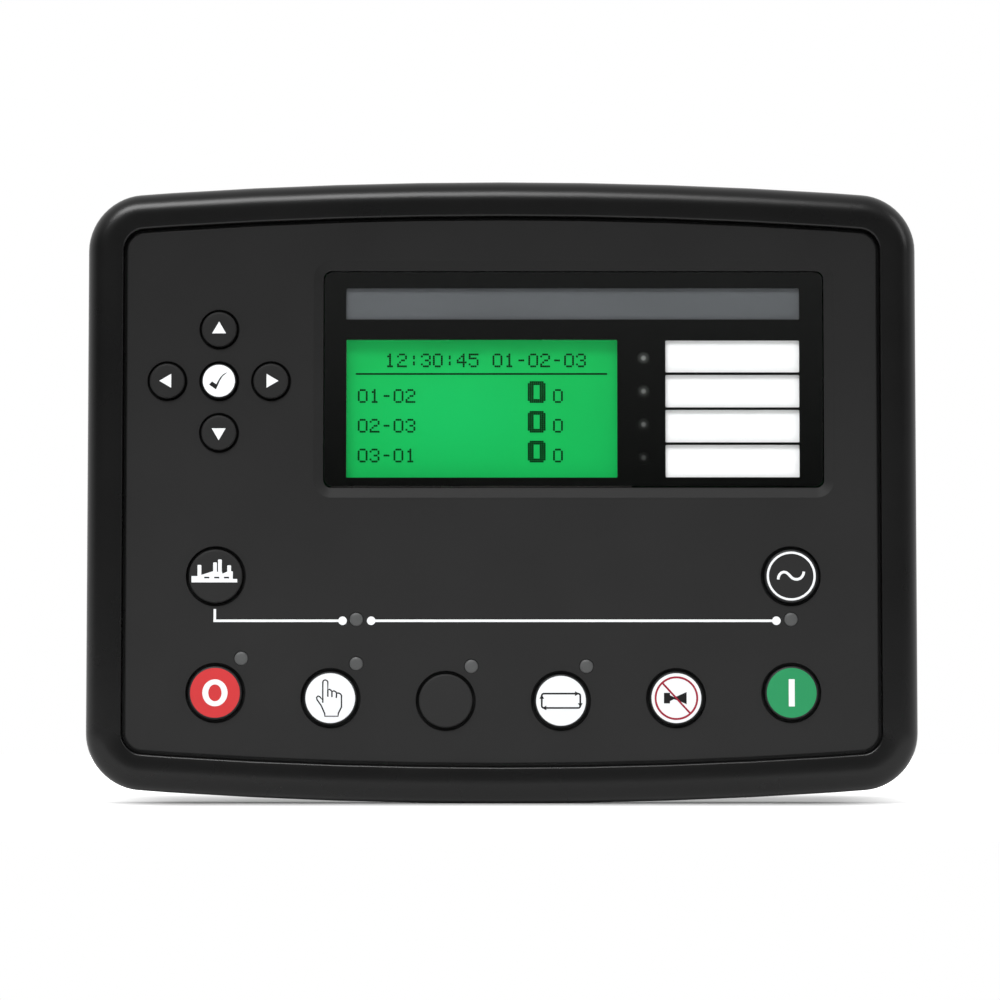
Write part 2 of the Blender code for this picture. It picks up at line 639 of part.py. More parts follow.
def make_window():
    """Lens with its edges just clear of the opening, and the two cards behind it."""
    lens_size = (WINDOW_WIDTH - 2 * SEAT_GAP, WINDOW_HEIGHT - 2 * SEAT_GAP)
    shape = bmesh.new()
    prism(shape, rounded_rectangle(WINDOW_CENTRE, lens_size, WINDOW_CORNER - SEAT_GAP), LENS_BACK, LENS_FACE)
    add_piece("display_window", shape, WINDOW_BLACK)
    cards = (("label_card", LABEL_CENTRE, LABEL_SIZE, CARD_WHITE),
             ("band_card", BAND_CENTRE, BAND_SIZE, BAND_GREY))
    for name, centre, size, finish in cards:
        shape = bmesh.new()
        block(shape, centre, size, CARD_BACK, CARD_FACE)
        add_piece(name, shape, finish)


def make_display():
    """Display module: pressed frame, glass cell and light guide, in front of the display board."""
    top = CARRIER_BACK - SEAT_GAP
    foot = BOARD_FACE + SEAT_GAP
    glass_top = top - LCD_FRAME_WALL - SEAT_GAP
    glass_back = glass_top - LCD_GLASS_THICKNESS
    inner_cut = 2 * (LCD_FRAME_WALL + SEAT_GAP)
    inner_size = (LCD_FRAME_SIZE[0] - inner_cut, LCD_FRAME_SIZE[1] - inner_cut)

    shape = bmesh.new()
    block(shape, LCD_CENTRE, LCD_FRAME_SIZE, foot, top)
    frame = add_piece("lcd_frame", shape, STEEL)
    inside = bmesh.new()
    room = (inner_size[0] + 2 * SEAT_GAP, inner_size[1] + 2 * SEAT_GAP)
    block(inside, LCD_CENTRE, room, foot - CUT_MARGIN, top - LCD_FRAME_WALL)
    combine(frame, "DIFFERENCE", inside, "inside")
    view = bmesh.new()
    block(view, LCD_CENTRE, (LCD_VIEW_WIDTH, VIEW_HEIGHT), foot, top + CUT_MARGIN)
    combine(frame, "DIFFERENCE", view, "view")

    shape = bmesh.new()
    block(shape, LCD_CENTRE, inner_size, glass_back, glass_top)
    add_piece("lcd_glass", shape, LCD_GREEN)
    shape = bmesh.new()
    block(shape, LCD_CENTRE, inner_size, foot, glass_back - SEAT_GAP)
    add_piece("lcd_backlight", shape, CLEAR_WHITE)


def turn_profile(name, profile, finish, place, steps):
    """Turn a profile of (radius, height) points, from the top down its outer side, round the z axis."""
    shape = bmesh.new()
    line = [shape.verts.new((radius, 0, height)) for radius, height in profile]
    for start, end in zip(line, line[1:]):
        shape.edges.new((start, end))
    piece = add_piece(name, shape, finish, (place[0], place[1], 0))
    screw = piece.modifiers.new("turn", "SCREW")
    screw.axis = "Z"
    screw.angle = 2 * math.pi
    screw.steps = steps
    screw.render_steps = steps
    screw.use_merge_vertices = True
    screw.merge_threshold = 0.00001
    screw.use_smooth_shade = False


def make_keys():
    """Key caps that slide in the carrier's holes, each held by a flange behind the carrier."""
    for name, place in KEY_PLACES.items():
        radius = key_radius(name)
        flange = radius + KEY_FLANGE
        profile = [(0, KEY_FACE), (radius - KEY_EDGE, KEY_FACE), (radius, KEY_FACE - KEY_EDGE),
                   (radius, KEY_FLANGE_TOP), (flange, KEY_FLANGE_TOP), (flange, KEY_BACK), (0, KEY_BACK)]
        turn_profile("key_" + name, profile, KEY_COLOURS.get(name, KEY_BLACK), place, key_steps(name))


def make_indicators():
    """Light pipes from the display board to the fascia's face."""
    foot = BOARD_FACE + SEAT_GAP
    flange_back = KEY_FLANGE_TOP - PIPE_FLANGE_THICKNESS
    flange = PIPE_RADIUS + PIPE_FLANGE
    profile = [(0, FASCIA_FACE), (PIPE_RADIUS, FASCIA_FACE), (PIPE_RADIUS, KEY_FLANGE_TOP),
               (flange, KEY_FLANGE_TOP), (flange, flange_back), (PIPE_RADIUS, flange_back),
               (PIPE_RADIUS, foot), (0, foot)]
    for name, place in PIPE_PLACES.items():
        turn_profile("indicator_" + name, profile, PIPE_GREY, place, SMALL_ROUND_STEPS)


def make_alarm_lights():
    """Round lights that stand on the display board and look through holes beside the label card."""
    foot = BOARD_FACE + SEAT_GAP
    top = CARD_FLOOR - ALARM_LED_SETBACK
    dome = ALARM_LED_RADIUS
    shoulder = dome * math.sin(math.pi / 4)
    collar = foot + ALARM_LED_COLLAR
    flange = ALARM_LED_RADIUS + ALARM_LED_FLANGE
    profile = [(0, top), (shoulder, top - dome + shoulder), (dome, top - dome), (dome, collar),
               (flange, collar), (flange, foot), (0, foot)]
    for i, place in enumerate(ALARM_PLACES):
        turn_profile("alarm_led_" + str(i + 1), profile, CLEAR_WHITE, place, SMALL_ROUND_STEPS)


def make_keymat():
    """Rubber mat with a leg behind the navigation pad and a foot behind the rows of keys."""
    right = BOARD_WIDTH / 2
    left = -right
    bottom = -BOARD_HEIGHT / 2
    inner = KEY_PLACES["right"][0] + NAV_KEY_RADIUS + KEY_FLANGE + MAT_MARGIN
    top = KEY_PLACES["up"][1] + NAV_KEY_RADIUS + KEY_FLANGE + MAT_MARGIN
    step = KEY_PLACES["load"][1] + KEY_RADIUS + KEY_FLANGE + MAT_MARGIN
    outline = [(left, bottom), (right, bottom), (right, step), (inner, step), (inner, top), (left, top)]
    shape = bmesh.new()
    prism(shape, outline, MAT_BACK, MAT_TOP)
    uprights = [edge for edge in shape.edges if edge.verts[0].co.z != edge.verts[1].co.z]
    bmesh.ops.bevel(shape, geom=uprights, offset=MAT_CORNER, offset_type="OFFSET", segments=2, profile=0.5,
                    affect="EDGES", material=-1)
    mat = add_piece("keymat", shape, RUBBER_GREY)
    pads = bmesh.new()
    for place in KEY_PLACES.values():
        drum(pads, place, PAD_RADIUS, MAT_TOP - JOIN_DEPTH, PAD_TOP, PAD_STEPS)
    combine(mat, "UNION", pads, "pads")
    holes = bmesh.new()
    for place in PIPE_PLACES.values():
        drum(holes, place, PIPE_RADIUS + SEAT_GAP, MAT_BACK - CUT_MARGIN, MAT_TOP + CUT_MARGIN)
    for place in SCREW_PLACES:
        drum(holes, place, BOSS_SHOULDER_RADIUS + SEAT_GAP, MAT_BACK - CUT_MARGIN, MAT_TOP + CUT_MARGIN)
    combine(mat, "DIFFERENCE", holes, "holes")


def make_boards():
    """Display board on the bezel's shoulders, main board on the pillars' shoulders, connector between."""
    board_size = (BOARD_WIDTH, BOARD_HEIGHT)
    shape = bmesh.new()
    block(shape, (0, 0), board_size, BOARD_BACK, BOARD_FACE)
    display_board = add_piece("display_board", shape, BOARD_GREEN)
    holes = bmesh.new()
    for place in SCREW_PLACES:
        drum(holes, place, BOSS_RADIUS + SEAT_GAP, BOARD_BACK - CUT_MARGIN, BOARD_FACE + CUT_MARGIN)
    combine(display_board, "DIFFERENCE", holes, "holes")

    shape = bmesh.new()
    block(shape, (0, 0), board_size, MAIN_BACK, MAIN_FACE)
    main_board = add_piece("main_board", shape, BOARD_GREEN)
    holes = bmesh.new()
    for place in SCREW_PLACES:
        drum(holes, place, PILLAR_RADIUS + SEAT_GAP, MAIN_BACK - CUT_MARGIN, MAIN_FACE + CUT_MARGIN)
    combine(main_board, "DIFFERENCE", holes, "holes")
    shrouds = bmesh.new()
    rooms = bmesh.new()
    for name, ways, centre in CONNECTORS:
        if ways:
            block(shrouds, centre, header_size(ways), HEADER_BACK, MAIN_BACK + JOIN_DEPTH)
            block(rooms, centre, header_room(ways), HEADER_BACK - CUT_MARGIN, MAIN_BACK - HEADER_FLOOR)
    combine(main_board, "UNION", shrouds, "shrouds")
    combine(main_board, "DIFFERENCE", rooms, "rooms")

    shape = bmesh.new()
    block(shape, (STACK_CONNECTOR_X, STACK_CONNECTOR_Y), (STACK_CONNECTOR_WIDTH, STACK_CONNECTOR_HEIGHT),
          MAIN_FACE + SEAT_GAP, BOARD_BACK - SEAT_GAP)
    add_piece("board_connector", shape, CONNECTOR_BLACK)


def nose_size(ways):
    """Width and height of the part of a plug that goes into its header."""
    return ways * TERMINAL_PITCH, NOSE_HEIGHT


def header_room(ways):
    """Width and height of the room inside a header."""
    width, height = nose_size(ways)
    return width + 2 * SEAT_GAP, height + 2 * SEAT_GAP


def header_size(ways):
    """Outer width and height of a header."""
    width, height = header_room(ways)
    return width + 2 * HEADER_WALL, height + 2 * HEADER_WALL


def socket_size(name):
    """Outer width and height of a data socket where it passes through the housing."""
    return {"serial_socket": (SERIAL_FLANGE_WIDTH, SERIAL_FLANGE_HEIGHT),
            "usb_socket": (USB_WIDTH, USB_HEIGHT),
            "ethernet_socket": (ETHERNET_WIDTH, ETHERNET_HEIGHT)}[name]


def spread_row(row, y):
    """Spread a row of plugs and sockets evenly between the pillars; gives (name, ways, centre)."""
    widths = [header_size(ways)[0] if ways else socket_size(name)[0] for name, ways in row]
    room = 2 * (SCREW_X - CONNECTOR_SIDE_INSET)
    gap = (room - sum(widths)) / (len(row) - 1)
    x = -room / 2
    placed = []
    for (name, ways), width in zip(row, widths):
        placed.append((name, ways, (x + width / 2, y)))
        x += width + gap
    return placed


CONNECTOR_Y = HOUSING_HEIGHT / 2 - CONNECTOR_LINE
CONNECTORS = spread_row(UPPER_ROW, CONNECTOR_Y) + spread_row(LOWER_ROW, -CONNECTOR_Y)


def make_housing():
    """Moulded box with a flange for the gasket, a raised middle, vents, pillars and openings."""
    def box_outline(depth_part, shrink):
        draft = HOUSING_DRAFT * depth_part
        size = (HOUSING_WIDTH - 2 * (draft + shrink), HOUSING_HEIGHT - 2 * (draft + shrink))
        return rounded_rectangle((0, 0), size, HOUSING_CORNER - min(shrink, HOUSING_WALL / 2))

    def hump_outline(shrink):
        size = (HOUSING_WIDTH - 2 * (HOUSING_DRAFT + shrink), 2 * (HUMP_HALF_HEIGHT - shrink))
        return rounded_rectangle((0, 0), size, HUMP_CORNER)

    shape = bmesh.new()
    prism(shape, bowed_outline(SKIRT_WALL + SKIRT_CLEARANCE), FLANGE_BACK, FLANGE_FACE)
    housing = add_piece("rear_housing", shape, BLACK_MOULDING)

    box = bmesh.new()
    loft(box, [at_height(box_outline(1, HUMP_EDGE), SHELF_BACK),
               at_height(box_outline(1, 0), SHELF_BACK + HUMP_EDGE),
               at_height(box_outline(0, 0), FLANGE_BACK + JOIN_DEPTH)])
    combine(housing, "UNION", box, "box")
    hump = bmesh.new()
    loft(hump, [at_height(hump_outline(HUMP_EDGE), HUMP_BACK),
                at_height(hump_outline(0), HUMP_BACK + HUMP_EDGE),
                at_height(hump_outline(0), SHELF_BACK + HOUSING_WALL)])
    combine(housing, "UNION", hump, "hump")
    cavity = bmesh.new()
    loft(cavity, [at_height(box_outline(1, HOUSING_WALL), SHELF_BACK + HOUSING_WALL),
                  at_height(box_outline(0, HOUSING_WALL), FLANGE_FACE + CUT_MARGIN)])
    combine(housing, "DIFFERENCE", cavity, "cavity")
    hump_cavity = bmesh.new()
    prism(hump_cavity, hump_outline(HOUSING_WALL), HUMP_BACK + HOUSING_WALL, SHELF_BACK + 2 * HOUSING_WALL)
    combine(housing, "DIFFERENCE", hump_cavity, "hump_cavity")

    shoulders = bmesh.new()
    pillars = bmesh.new()
    floor = SHELF_BACK + HOUSING_WALL
    for place in SCREW_PLACES:
        drum(shoulders, place, SHOULDER_RADIUS, floor - JOIN_DEPTH, MAIN_BACK - SEAT_GAP)
        drum(pillars, place, PILLAR_RADIUS, floor - JOIN_DEPTH, PILLAR_END)
    combine(housing, "UNION", shoulders, "shoulders")
    combine(housing, "UNION", pillars, "pillars")

    wells = bmesh.new()
    for place in SCREW_PLACES:
        drum(wells, place, WELL_RADIUS, SHELF_BACK - CUT_MARGIN, WELL_FLOOR)
    for name, ways, centre in CONNECTORS:
        size = header_size(ways) if ways else socket_size(name)
        room = (size[0] + 2 * SEAT_GAP, size[1] + 2 * SEAT_GAP)
        block(wells, centre, room, SHELF_BACK - CUT_MARGIN, floor + CUT_MARGIN)
    for i in range(VENT_COUNT):
        x = (i - (VENT_COUNT - 1) / 2) * VENT_PITCH
        for side in (-1, 1):
            wall = (x, side * (HUMP_HALF_HEIGHT - HOUSING_WALL / 2))
            block(wells, wall, (VENT_WIDTH, 2 * HOUSING_WALL), HUMP_BACK + VENT_END_WALL,
                  SHELF_BACK - VENT_END_WALL)
    for side in (-1, 1):
        for across in (-1, 1):
            for half in (-1, 1):
                x = across * (HOUSING_WIDTH / 2 - CLIP_SLOT_INSET) + half * CLIP_SLOT_SPACING / 2
                wall = (x, side * (HOUSING_HEIGHT / 2 - HOUSING_WALL / 2))
                block(wells, wall, (CLIP_SLOT_WIDTH, 2 * HOUSING_WALL),
                      -CLIP_SLOT_DEPTH - CLIP_SLOT_LENGTH / 2, -CLIP_SLOT_DEPTH + CLIP_SLOT_LENGTH / 2)
    combine(housing, "DIFFERENCE", wells, "openings")
    screw_holes = bmesh.new()
    for place in SCREW_PLACES:
        drum(screw_holes, place, SCREW_RADIUS + SEAT_GAP, WELL_FLOOR - CUT_MARGIN, PILLAR_END + CUT_MARGIN)
    combine(housing, "DIFFERENCE", screw_holes, "screw_holes")


def make_gasket():
    """Soft ring round the cut-out, under the housing's flange."""
    shape = bmesh.new()
    prism(shape, bowed_outline(SKIRT_WALL + SKIRT_CLEARANCE + GASKET_EDGE_MARGIN), 0, GASKET_THICKNESS)
    gasket = add_piece("panel_gasket", shape, RUBBER_GREY)
    size = (CUTOUT_WIDTH + 2 * GASKET_INNER_MARGIN, CUTOUT_HEIGHT + 2 * GASKET_INNER_MARGIN)
    outline = rounded_rectangle((0, 0), size, HOUSING_CORNER)
    opening = bmesh.new()
    prism(opening, outline, -CUT_MARGIN, GASKET_THICKNESS + CUT_MARGIN)
    combine(gasket, "DIFFERENCE", opening, "opening")


def make_screws():
    """Screws from the wells of the housing into the bosses of the bezel."""
    seat = WELL_FLOOR - SEAT_GAP
    profile = [(0, seat + SCREW_LENGTH), (SCREW_RADIUS * 0.5, seat + SCREW_LENGTH),
               (SCREW_RADIUS, seat + SCREW_LENGTH - SCREW_RADIUS), (SCREW_RADIUS, seat),
               (SCREW_HEAD_RADIUS, seat), (SCREW_HEAD_RADIUS, seat - SCREW_HEAD_HEIGHT),
               (0, seat - SCREW_HEAD_HEIGHT)]
    for i, place in enumerate(SCREW_PLACES):
        turn_profile("case_screw_" + str(i + 1), profile, STEEL, place, SMALL_ROUND_STEPS)


def make_plug(name, ways, centre):
    """Plug-in terminal: a nose in the header, a body behind it and one wire entry a way."""
    nose_end = MAIN_BACK - HEADER_FLOOR - SEAT_GAP
    body_face = HEADER_BACK - SEAT_GAP
    body_back = body_face - PLUG_DEPTH
    width = header_size(ways)[0]
    shape = bmesh.new()
    back = rectangle(centre, (width - 2 * PLUG_EDGE, PLUG_HEIGHT - 2 * PLUG_EDGE))
    outline = rectangle(centre, (width, PLUG_HEIGHT))
    loft(shape, [at_height(back, body_back), at_height(outline, body_back + PLUG_EDGE),
                 at_height(outline, body_face)])
    plug = add_piece(name, shape, PLUG_GREEN)
    nose = bmesh.new()
    block(nose, centre, nose_size(ways), body_face - JOIN_DEPTH, nose_end)
    combine(plug, "UNION", nose, "nose")
    entries = bmesh.new()
    side = 1 if centre[1] > 0 else -1
    for i in range(ways):
        x = centre[0] + (i - (ways - 1) / 2) * TERMINAL_PITCH
        block(entries, (x, centre[1] - side * WIRE_ENTRY_OFFSET), (WIRE_ENTRY, WIRE_ENTRY),
              body_back - CUT_MARGIN, body_back + WIRE_ENTRY_DEPTH)
    combine(plug, "DIFFERENCE", entries, "wire_entries")


def make_ethernet_socket(centre):
    """Upright jack with a stepped mouth for the latch of the plug."""
    back = SOCKET_FOOT - ETHERNET_DEPTH
    shape = bmesh.new()
    block(shape, centre, (ETHERNET_WIDTH, ETHERNET_HEIGHT), back, SOCKET_FOOT)
    socket = add_piece("ethernet_socket", shape, STEEL)
    mouth_y = centre[1] + ETHERNET_LATCH_HEIGHT / 2
    mouth = bmesh.new()
    block(mouth, (centre[0], mouth_y), (ETHERNET_MOUTH_WIDTH, ETHERNET_MOUTH_HEIGHT), back - CUT_MARGIN,
          back + ETHERNET_MOUTH_DEPTH)
    combine(socket, "DIFFERENCE", mouth, "mouth")
    latch = bmesh.new()
    latch_y = mouth_y - ETHERNET_MOUTH_HEIGHT / 2 - ETHERNET_LATCH_HEIGHT / 2 + JOIN_DEPTH
    block(latch, (centre[0], latch_y), (ETHERNET_LATCH_WIDTH, ETHERNET_LATCH_HEIGHT), back - CUT_MARGIN,
          back + ETHERNET_MOUTH_DEPTH)
    combine(socket, "DIFFERENCE", latch, "latch_room")


def make_usb_socket(centre):
    """Upright square socket with a tongue in its mouth."""
    back = SOCKET_FOOT - USB_DEPTH
    shape = bmesh.new()
    block(shape, centre, (USB_WIDTH, USB_HEIGHT), back, SOCKET_FOOT)
    socket = add_piece("usb_socket", shape, STEEL)
    mouth = bmesh.new()
    block(mouth, centre, (USB_MOUTH_WIDTH, USB_MOUTH_HEIGHT), back - CUT_MARGIN, back + USB_MOUTH_DEPTH)
    combine(socket, "DIFFERENCE", mouth, "mouth")
    tongue = bmesh.new()
    block(tongue, centre, (USB_TONGUE_WIDTH, USB_TONGUE_HEIGHT), back + CUT_MARGIN,
          back + USB_MOUTH_DEPTH + JOIN_DEPTH)
    combine(socket, "UNION", tongue, "tongue")


def tapered_shroud(centre, grow):
    """Outline of the D-shaped shroud: wider at the top than at the bottom."""
    half_height = SERIAL_SHROUD_HEIGHT / 2 + grow
    top = SERIAL_SHROUD_WIDTH / 2 + grow
    bottom = top - SERIAL_SHROUD_TAPER
    x, y = centre
    return [(x - bottom, y - half_height), (x + bottom, y - half_height),
            (x + top, y + half_height), (x - top, y + half_height)]


def make_serial_socket(centre):
    """Nine-pin socket: body, flange with two nuts, D-shaped shroud with pins inside."""
    flange_face = SOCKET_FOOT - SERIAL_BODY_DEPTH
    flange_back = flange_face - SERIAL_FLANGE_THICKNESS
    shroud_back = flange_back - SERIAL_SHROUD_LENGTH
    body_size = (SERIAL_FLANGE_WIDTH - 2 * SERIAL_NUT_RADIUS, SERIAL_FLANGE_HEIGHT - SERIAL_NUT_RADIUS)
    shape = bmesh.new()
    block(shape, centre, body_size, flange_face - JOIN_DEPTH, SOCKET_FOOT)
    socket = add_piece("serial_socket", shape, STEEL)
    flange = bmesh.new()
    block(flange, centre, (SERIAL_FLANGE_WIDTH, SERIAL_FLANGE_HEIGHT), flange_back, flange_face)
    combine(socket, "UNION", flange, "flange")
    outer = bmesh.new()
    prism(outer, tapered_shroud(centre, 0), shroud_back, flange_back + JOIN_DEPTH)
    for side in (-1, 1):
        drum(outer, (centre[0] + side * SERIAL_NUT_X, centre[1]), SERIAL_NUT_RADIUS,
             flange_back - SERIAL_NUT_HEIGHT, flange_back + JOIN_DEPTH, 6)
    combine(socket, "UNION", outer, "shroud")
    room = bmesh.new()
    prism(room, tapered_shroud(centre, -SERIAL_SHROUD_WALL), shroud_back - CUT_MARGIN, flange_back)
    combine(socket, "DIFFERENCE", room, "room")
    pins = bmesh.new()
    for row, count in ((0.5, 5), (-0.5, 4)):
        for i in range(count):
            place = (centre[0] + (i - (count - 1) / 2) * SERIAL_PIN_PITCH,
                     centre[1] + row * SERIAL_ROW_SPACING)
            drum(pins, place, SERIAL_PIN_RADIUS, flange_back - SERIAL_PIN_LENGTH, flange_back + JOIN_DEPTH, 6)
    combine(socket, "UNION", pins, "pins")


def make_connectors():
    """All plugs and sockets of both rows."""
    makers = {"serial_socket": make_serial_socket, "usb_socket": make_usb_socket,
              "ethernet_socket": make_ethernet_socket}
    for name, ways, centre in CONNECTORS:
        if ways:
            make_plug(name, ways, centre)
        else:
            makers[name](centre)


def make_board_parts():
    """Relays and capacitors on the back of the main board."""
    for i in range(RELAY_COUNT):
        shape = bmesh.new()
        x = RELAY_SIDE_INSET - CAVITY_WIDTH / 2 + i * RELAY_PITCH
        block(shape, (x, RELAY_Y), (RELAY_WIDTH, RELAY_HEIGHT), BOARD_PART_TOP, SOCKET_FOOT)
        add_piece("relay_" + str(i + 1), shape, RELAY_BLUE)
    for i in range(2):
        shape = bmesh.new()
        x = CAVITY_WIDTH / 2 - CAPACITOR_SIDE_INSET - i * CAPACITOR_PITCH
        drum(shape, (x, CAPACITOR_Y), CAPACITOR_RADIUS, BOARD_PART_TOP, SOCKET_FOOT)
        add_piece("capacitor_" + str(i + 1), shape, CAPACITOR_BLACK)


def build():
    """Model every piece."""
    make_bezel()
    make_fascia()
    make_window()
    make_display()
    make_keys()
    make_indicators()
    make_alarm_lights()
    make_keymat()
    make_boards()
    make_board_parts()
    make_connectors()
    make_housing()
    make_gasket()
    make_screws()


build()
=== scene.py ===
# %% [markdown]
# # The looks of a panel-mounted genset controller
#
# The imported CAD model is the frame: it says where every piece sits and which pieces move. This
# script dresses it. It makes finer versions of the mouldings, prints the symbols on the keys, lights
# the display and sets up a small photo studio.
#
# The first lines bring the frame in. Every object of it is in metres, stands upright and faces -Y.

# %% Load the frame
import math

import bmesh
import bpy
from mathutils import Matrix, Vector


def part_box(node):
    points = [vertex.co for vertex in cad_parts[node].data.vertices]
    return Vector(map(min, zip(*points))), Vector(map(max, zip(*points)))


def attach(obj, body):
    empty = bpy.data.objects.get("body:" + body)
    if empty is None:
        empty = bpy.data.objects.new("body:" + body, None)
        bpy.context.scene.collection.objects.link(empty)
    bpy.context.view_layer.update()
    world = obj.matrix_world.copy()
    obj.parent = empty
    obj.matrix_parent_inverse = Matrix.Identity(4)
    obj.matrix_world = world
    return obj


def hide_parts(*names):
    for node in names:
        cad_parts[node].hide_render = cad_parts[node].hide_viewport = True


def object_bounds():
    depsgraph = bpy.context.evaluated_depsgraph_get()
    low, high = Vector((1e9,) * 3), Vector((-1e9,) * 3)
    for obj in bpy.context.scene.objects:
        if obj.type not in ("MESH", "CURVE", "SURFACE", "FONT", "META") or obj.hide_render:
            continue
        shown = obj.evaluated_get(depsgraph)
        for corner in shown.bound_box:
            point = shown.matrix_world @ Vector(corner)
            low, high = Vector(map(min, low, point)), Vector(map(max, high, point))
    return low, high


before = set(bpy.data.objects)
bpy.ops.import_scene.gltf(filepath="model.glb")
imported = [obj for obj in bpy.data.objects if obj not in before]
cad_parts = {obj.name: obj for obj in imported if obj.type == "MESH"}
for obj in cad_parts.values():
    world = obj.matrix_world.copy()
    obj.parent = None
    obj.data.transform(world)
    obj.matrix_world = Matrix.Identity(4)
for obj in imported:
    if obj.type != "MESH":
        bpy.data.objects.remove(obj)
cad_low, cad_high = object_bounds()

scene = bpy.context.scene
scene.view_settings.view_transform = "Standard"
print("CAD box in mm", [round(1000 * (b - a), 1) for a, b in zip(cad_low, cad_high)])

# %% [markdown]
# ## Drawing flat, then standing up
#
# A front panel is easiest to think about as a drawing: x across, y up, and z out of the panel. Each
# piece could be modelled upright straight away, but then every height would be a negative y. So the
# pieces are drawn flat with the operators, and one rotation stands them up at the end.

# %% Helpers for flat drawing
UPRIGHT = Matrix.Rotation(math.pi / 2, 4, "X")
CREASE = math.radians(32)


def drawn_box(node):
    """Lowest and highest corner of a CAD node as the flat drawing has them: across, up, out."""
    low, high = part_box(node)
    return Vector((low.x, low.z, -high.y)), Vector((high.x, high.z, -low.y))


def drawn_centre(node):
    """Middle of a CAD node in the flat drawing."""
    low, high = drawn_box(node)
    return Vector(((low.x + high.x) / 2, (low.y + high.y) / 2))


def finish_piece(name, shape, material, body="controller", stands_for=(), crease=CREASE):
    """Stand a flat-drawn shape upright, smooth it up to its creases and let it ride on a body."""
    bmesh.ops.transform(shape, matrix=UPRIGHT, verts=shape.verts)
    for face in shape.faces:
        face.smooth = True
    for edge in shape.edges:
        edge.smooth = edge.is_manifold and edge.calc_face_angle(0.0) < crease
    mesh = bpy.data.meshes.new(name)
    shape.to_mesh(mesh)
    shape.free()
    mesh.materials.append(material)
    piece = bpy.data.objects.new(name, mesh)
    scene.collection.objects.link(piece)
    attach(piece, body)
    if stands_for:
        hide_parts(*stands_for)
    return piece


# %% [markdown]
# ## A few shapes to start from
#
# Nearly everything on this controller is a flat outline that has been pushed out: a plate, a disc, a
# rounded rectangle. The operators give those in three moves: make a face, bevel its corner vertices,
# extrude it. A cap can then climb on through insets, and each inset adds one ring to a rounded edge.

# %% Outlines and climbs
def rectangle(centre, size, height, corner=0.0, steps=6):
    """A flat rectangle, with rounded corners where a radius is given."""
    shape = bmesh.new()
    place = Matrix.Translation((centre[0], centre[1], height))
    place = place @ Matrix.Diagonal((size[0], size[1], 1.0, 1.0))
    made = bmesh.ops.create_grid(shape, x_segments=1, y_segments=1, size=0.5, matrix=place)
    if corner:
        bmesh.ops.bevel(shape, geom=made["verts"], offset=corner, offset_type="OFFSET", segments=steps,
                        profile=0.5, affect="VERTICES", material=-1)
    return shape


def disc(centre, radius, height, steps=64):
    """A flat disc."""
    shape = bmesh.new()
    bmesh.ops.create_circle(shape, cap_ends=True, radius=radius, segments=steps,
                            matrix=Matrix.Translation((centre[0], centre[1], height)))
    return shape


def polygon(points, height):
    """A flat face through points given in millimetres."""
    shape = bmesh.new()
    shape.faces.new([shape.verts.new((x / 1000, y / 1000, height)) for x, y in points])
    bmesh.ops.recalc_face_normals(shape, faces=shape.faces)
    return shape


def climb(shape, cap, steps):
    """Let a cap face grow through (inset, rise) steps, and return the cap that is left on top."""
    for inset, rise in steps:
        if inset < 1e-7:
            normal = cap.normal.copy()
            cap = bmesh.ops.extrude_discrete_faces(shape, faces=[cap])["faces"][0]
            bmesh.ops.translate(shape, verts=cap.verts, vec=normal * rise)
        else:
            bmesh.ops.inset_region(shape, faces=[cap], thickness=inset, depth=rise,
                                   use_even_offset=True, use_boundary=True)
        cap.normal_update()
    return cap


def lifted(shape, height):
    """Lift all faces by a height, close the sides, and return the lifted faces."""
    made = bmesh.ops.extrude_face_region(shape, geom=shape.faces[:])["geom"]
    corners = [item for item in made if isinstance(item, bmesh.types.BMVert)]
    bmesh.ops.translate(shape, verts=corners, vec=(0, 0, height))
    bmesh.ops.recalc_face_normals(shape, faces=shape.faces)
    return [item for item in made if isinstance(item, bmesh.types.BMFace)]


def push_out(shape, depth, steps=()):
    """Turn a flat face into a closed block, and let its top climb on through the given steps."""
    climb(shape, lifted(shape, depth)[0], steps)
    return shape


def gather(*shapes):
    """Put several shapes into one."""
    whole = shapes[0]
    for shape in shapes[1:]:
        mesh = bpy.data.meshes.new("gathered")
        shape.to_mesh(mesh)
        shape.free()
        whole.from_mesh(mesh)
        bpy.data.meshes.remove(mesh)
    return whole


def carve(shape, cutter, operation="DIFFERENCE"):
    """Take one shape out of another with a Boolean modifier on two short-lived objects."""
    pair = []
    for part in (shape, cutter):
        mesh = bpy.data.meshes.new("carving")
        part.to_mesh(mesh)
        part.free()
        pair.append(bpy.data.objects.new("carving", mesh))
        scene.collection.objects.link(pair[-1])
    modifier = pair[0].modifiers.new("carve", "BOOLEAN")
    modifier.operation = operation
    modifier.object = pair[1]
    modifier.solver = "EXACT"
    carved = bmesh.new()
    carved.from_object(pair[0], bpy.context.evaluated_depsgraph_get())
    for part in pair:
        mesh = part.data
        bpy.data.objects.remove(part)
        bpy.data.meshes.remove(mesh)
    return carved


def quarter_turn(steps, first=1):
    """Sine and cosine at even steps through a quarter of a turn."""
    turns = [math.pi / 2 * i / steps for i in range(first, steps + 1)]
    return [(math.sin(turn), math.cos(turn)) for turn in turns]


def soften(shape, width, segments=2, least=math.radians(35), keep=lambda edge: True):
    """Round the sharp edges of a shape a little, as a mould does."""
    sharp = [edge for edge in shape.edges
             if edge.is_manifold and edge.calc_face_angle(0.0) > least and keep(edge)]
    bmesh.ops.bevel(shape, geom=sharp, offset=width, offset_type="OFFSET", segments=segments,
                    profile=0.5, affect="EDGES", material=-1, clamp_overlap=True)
    return shape


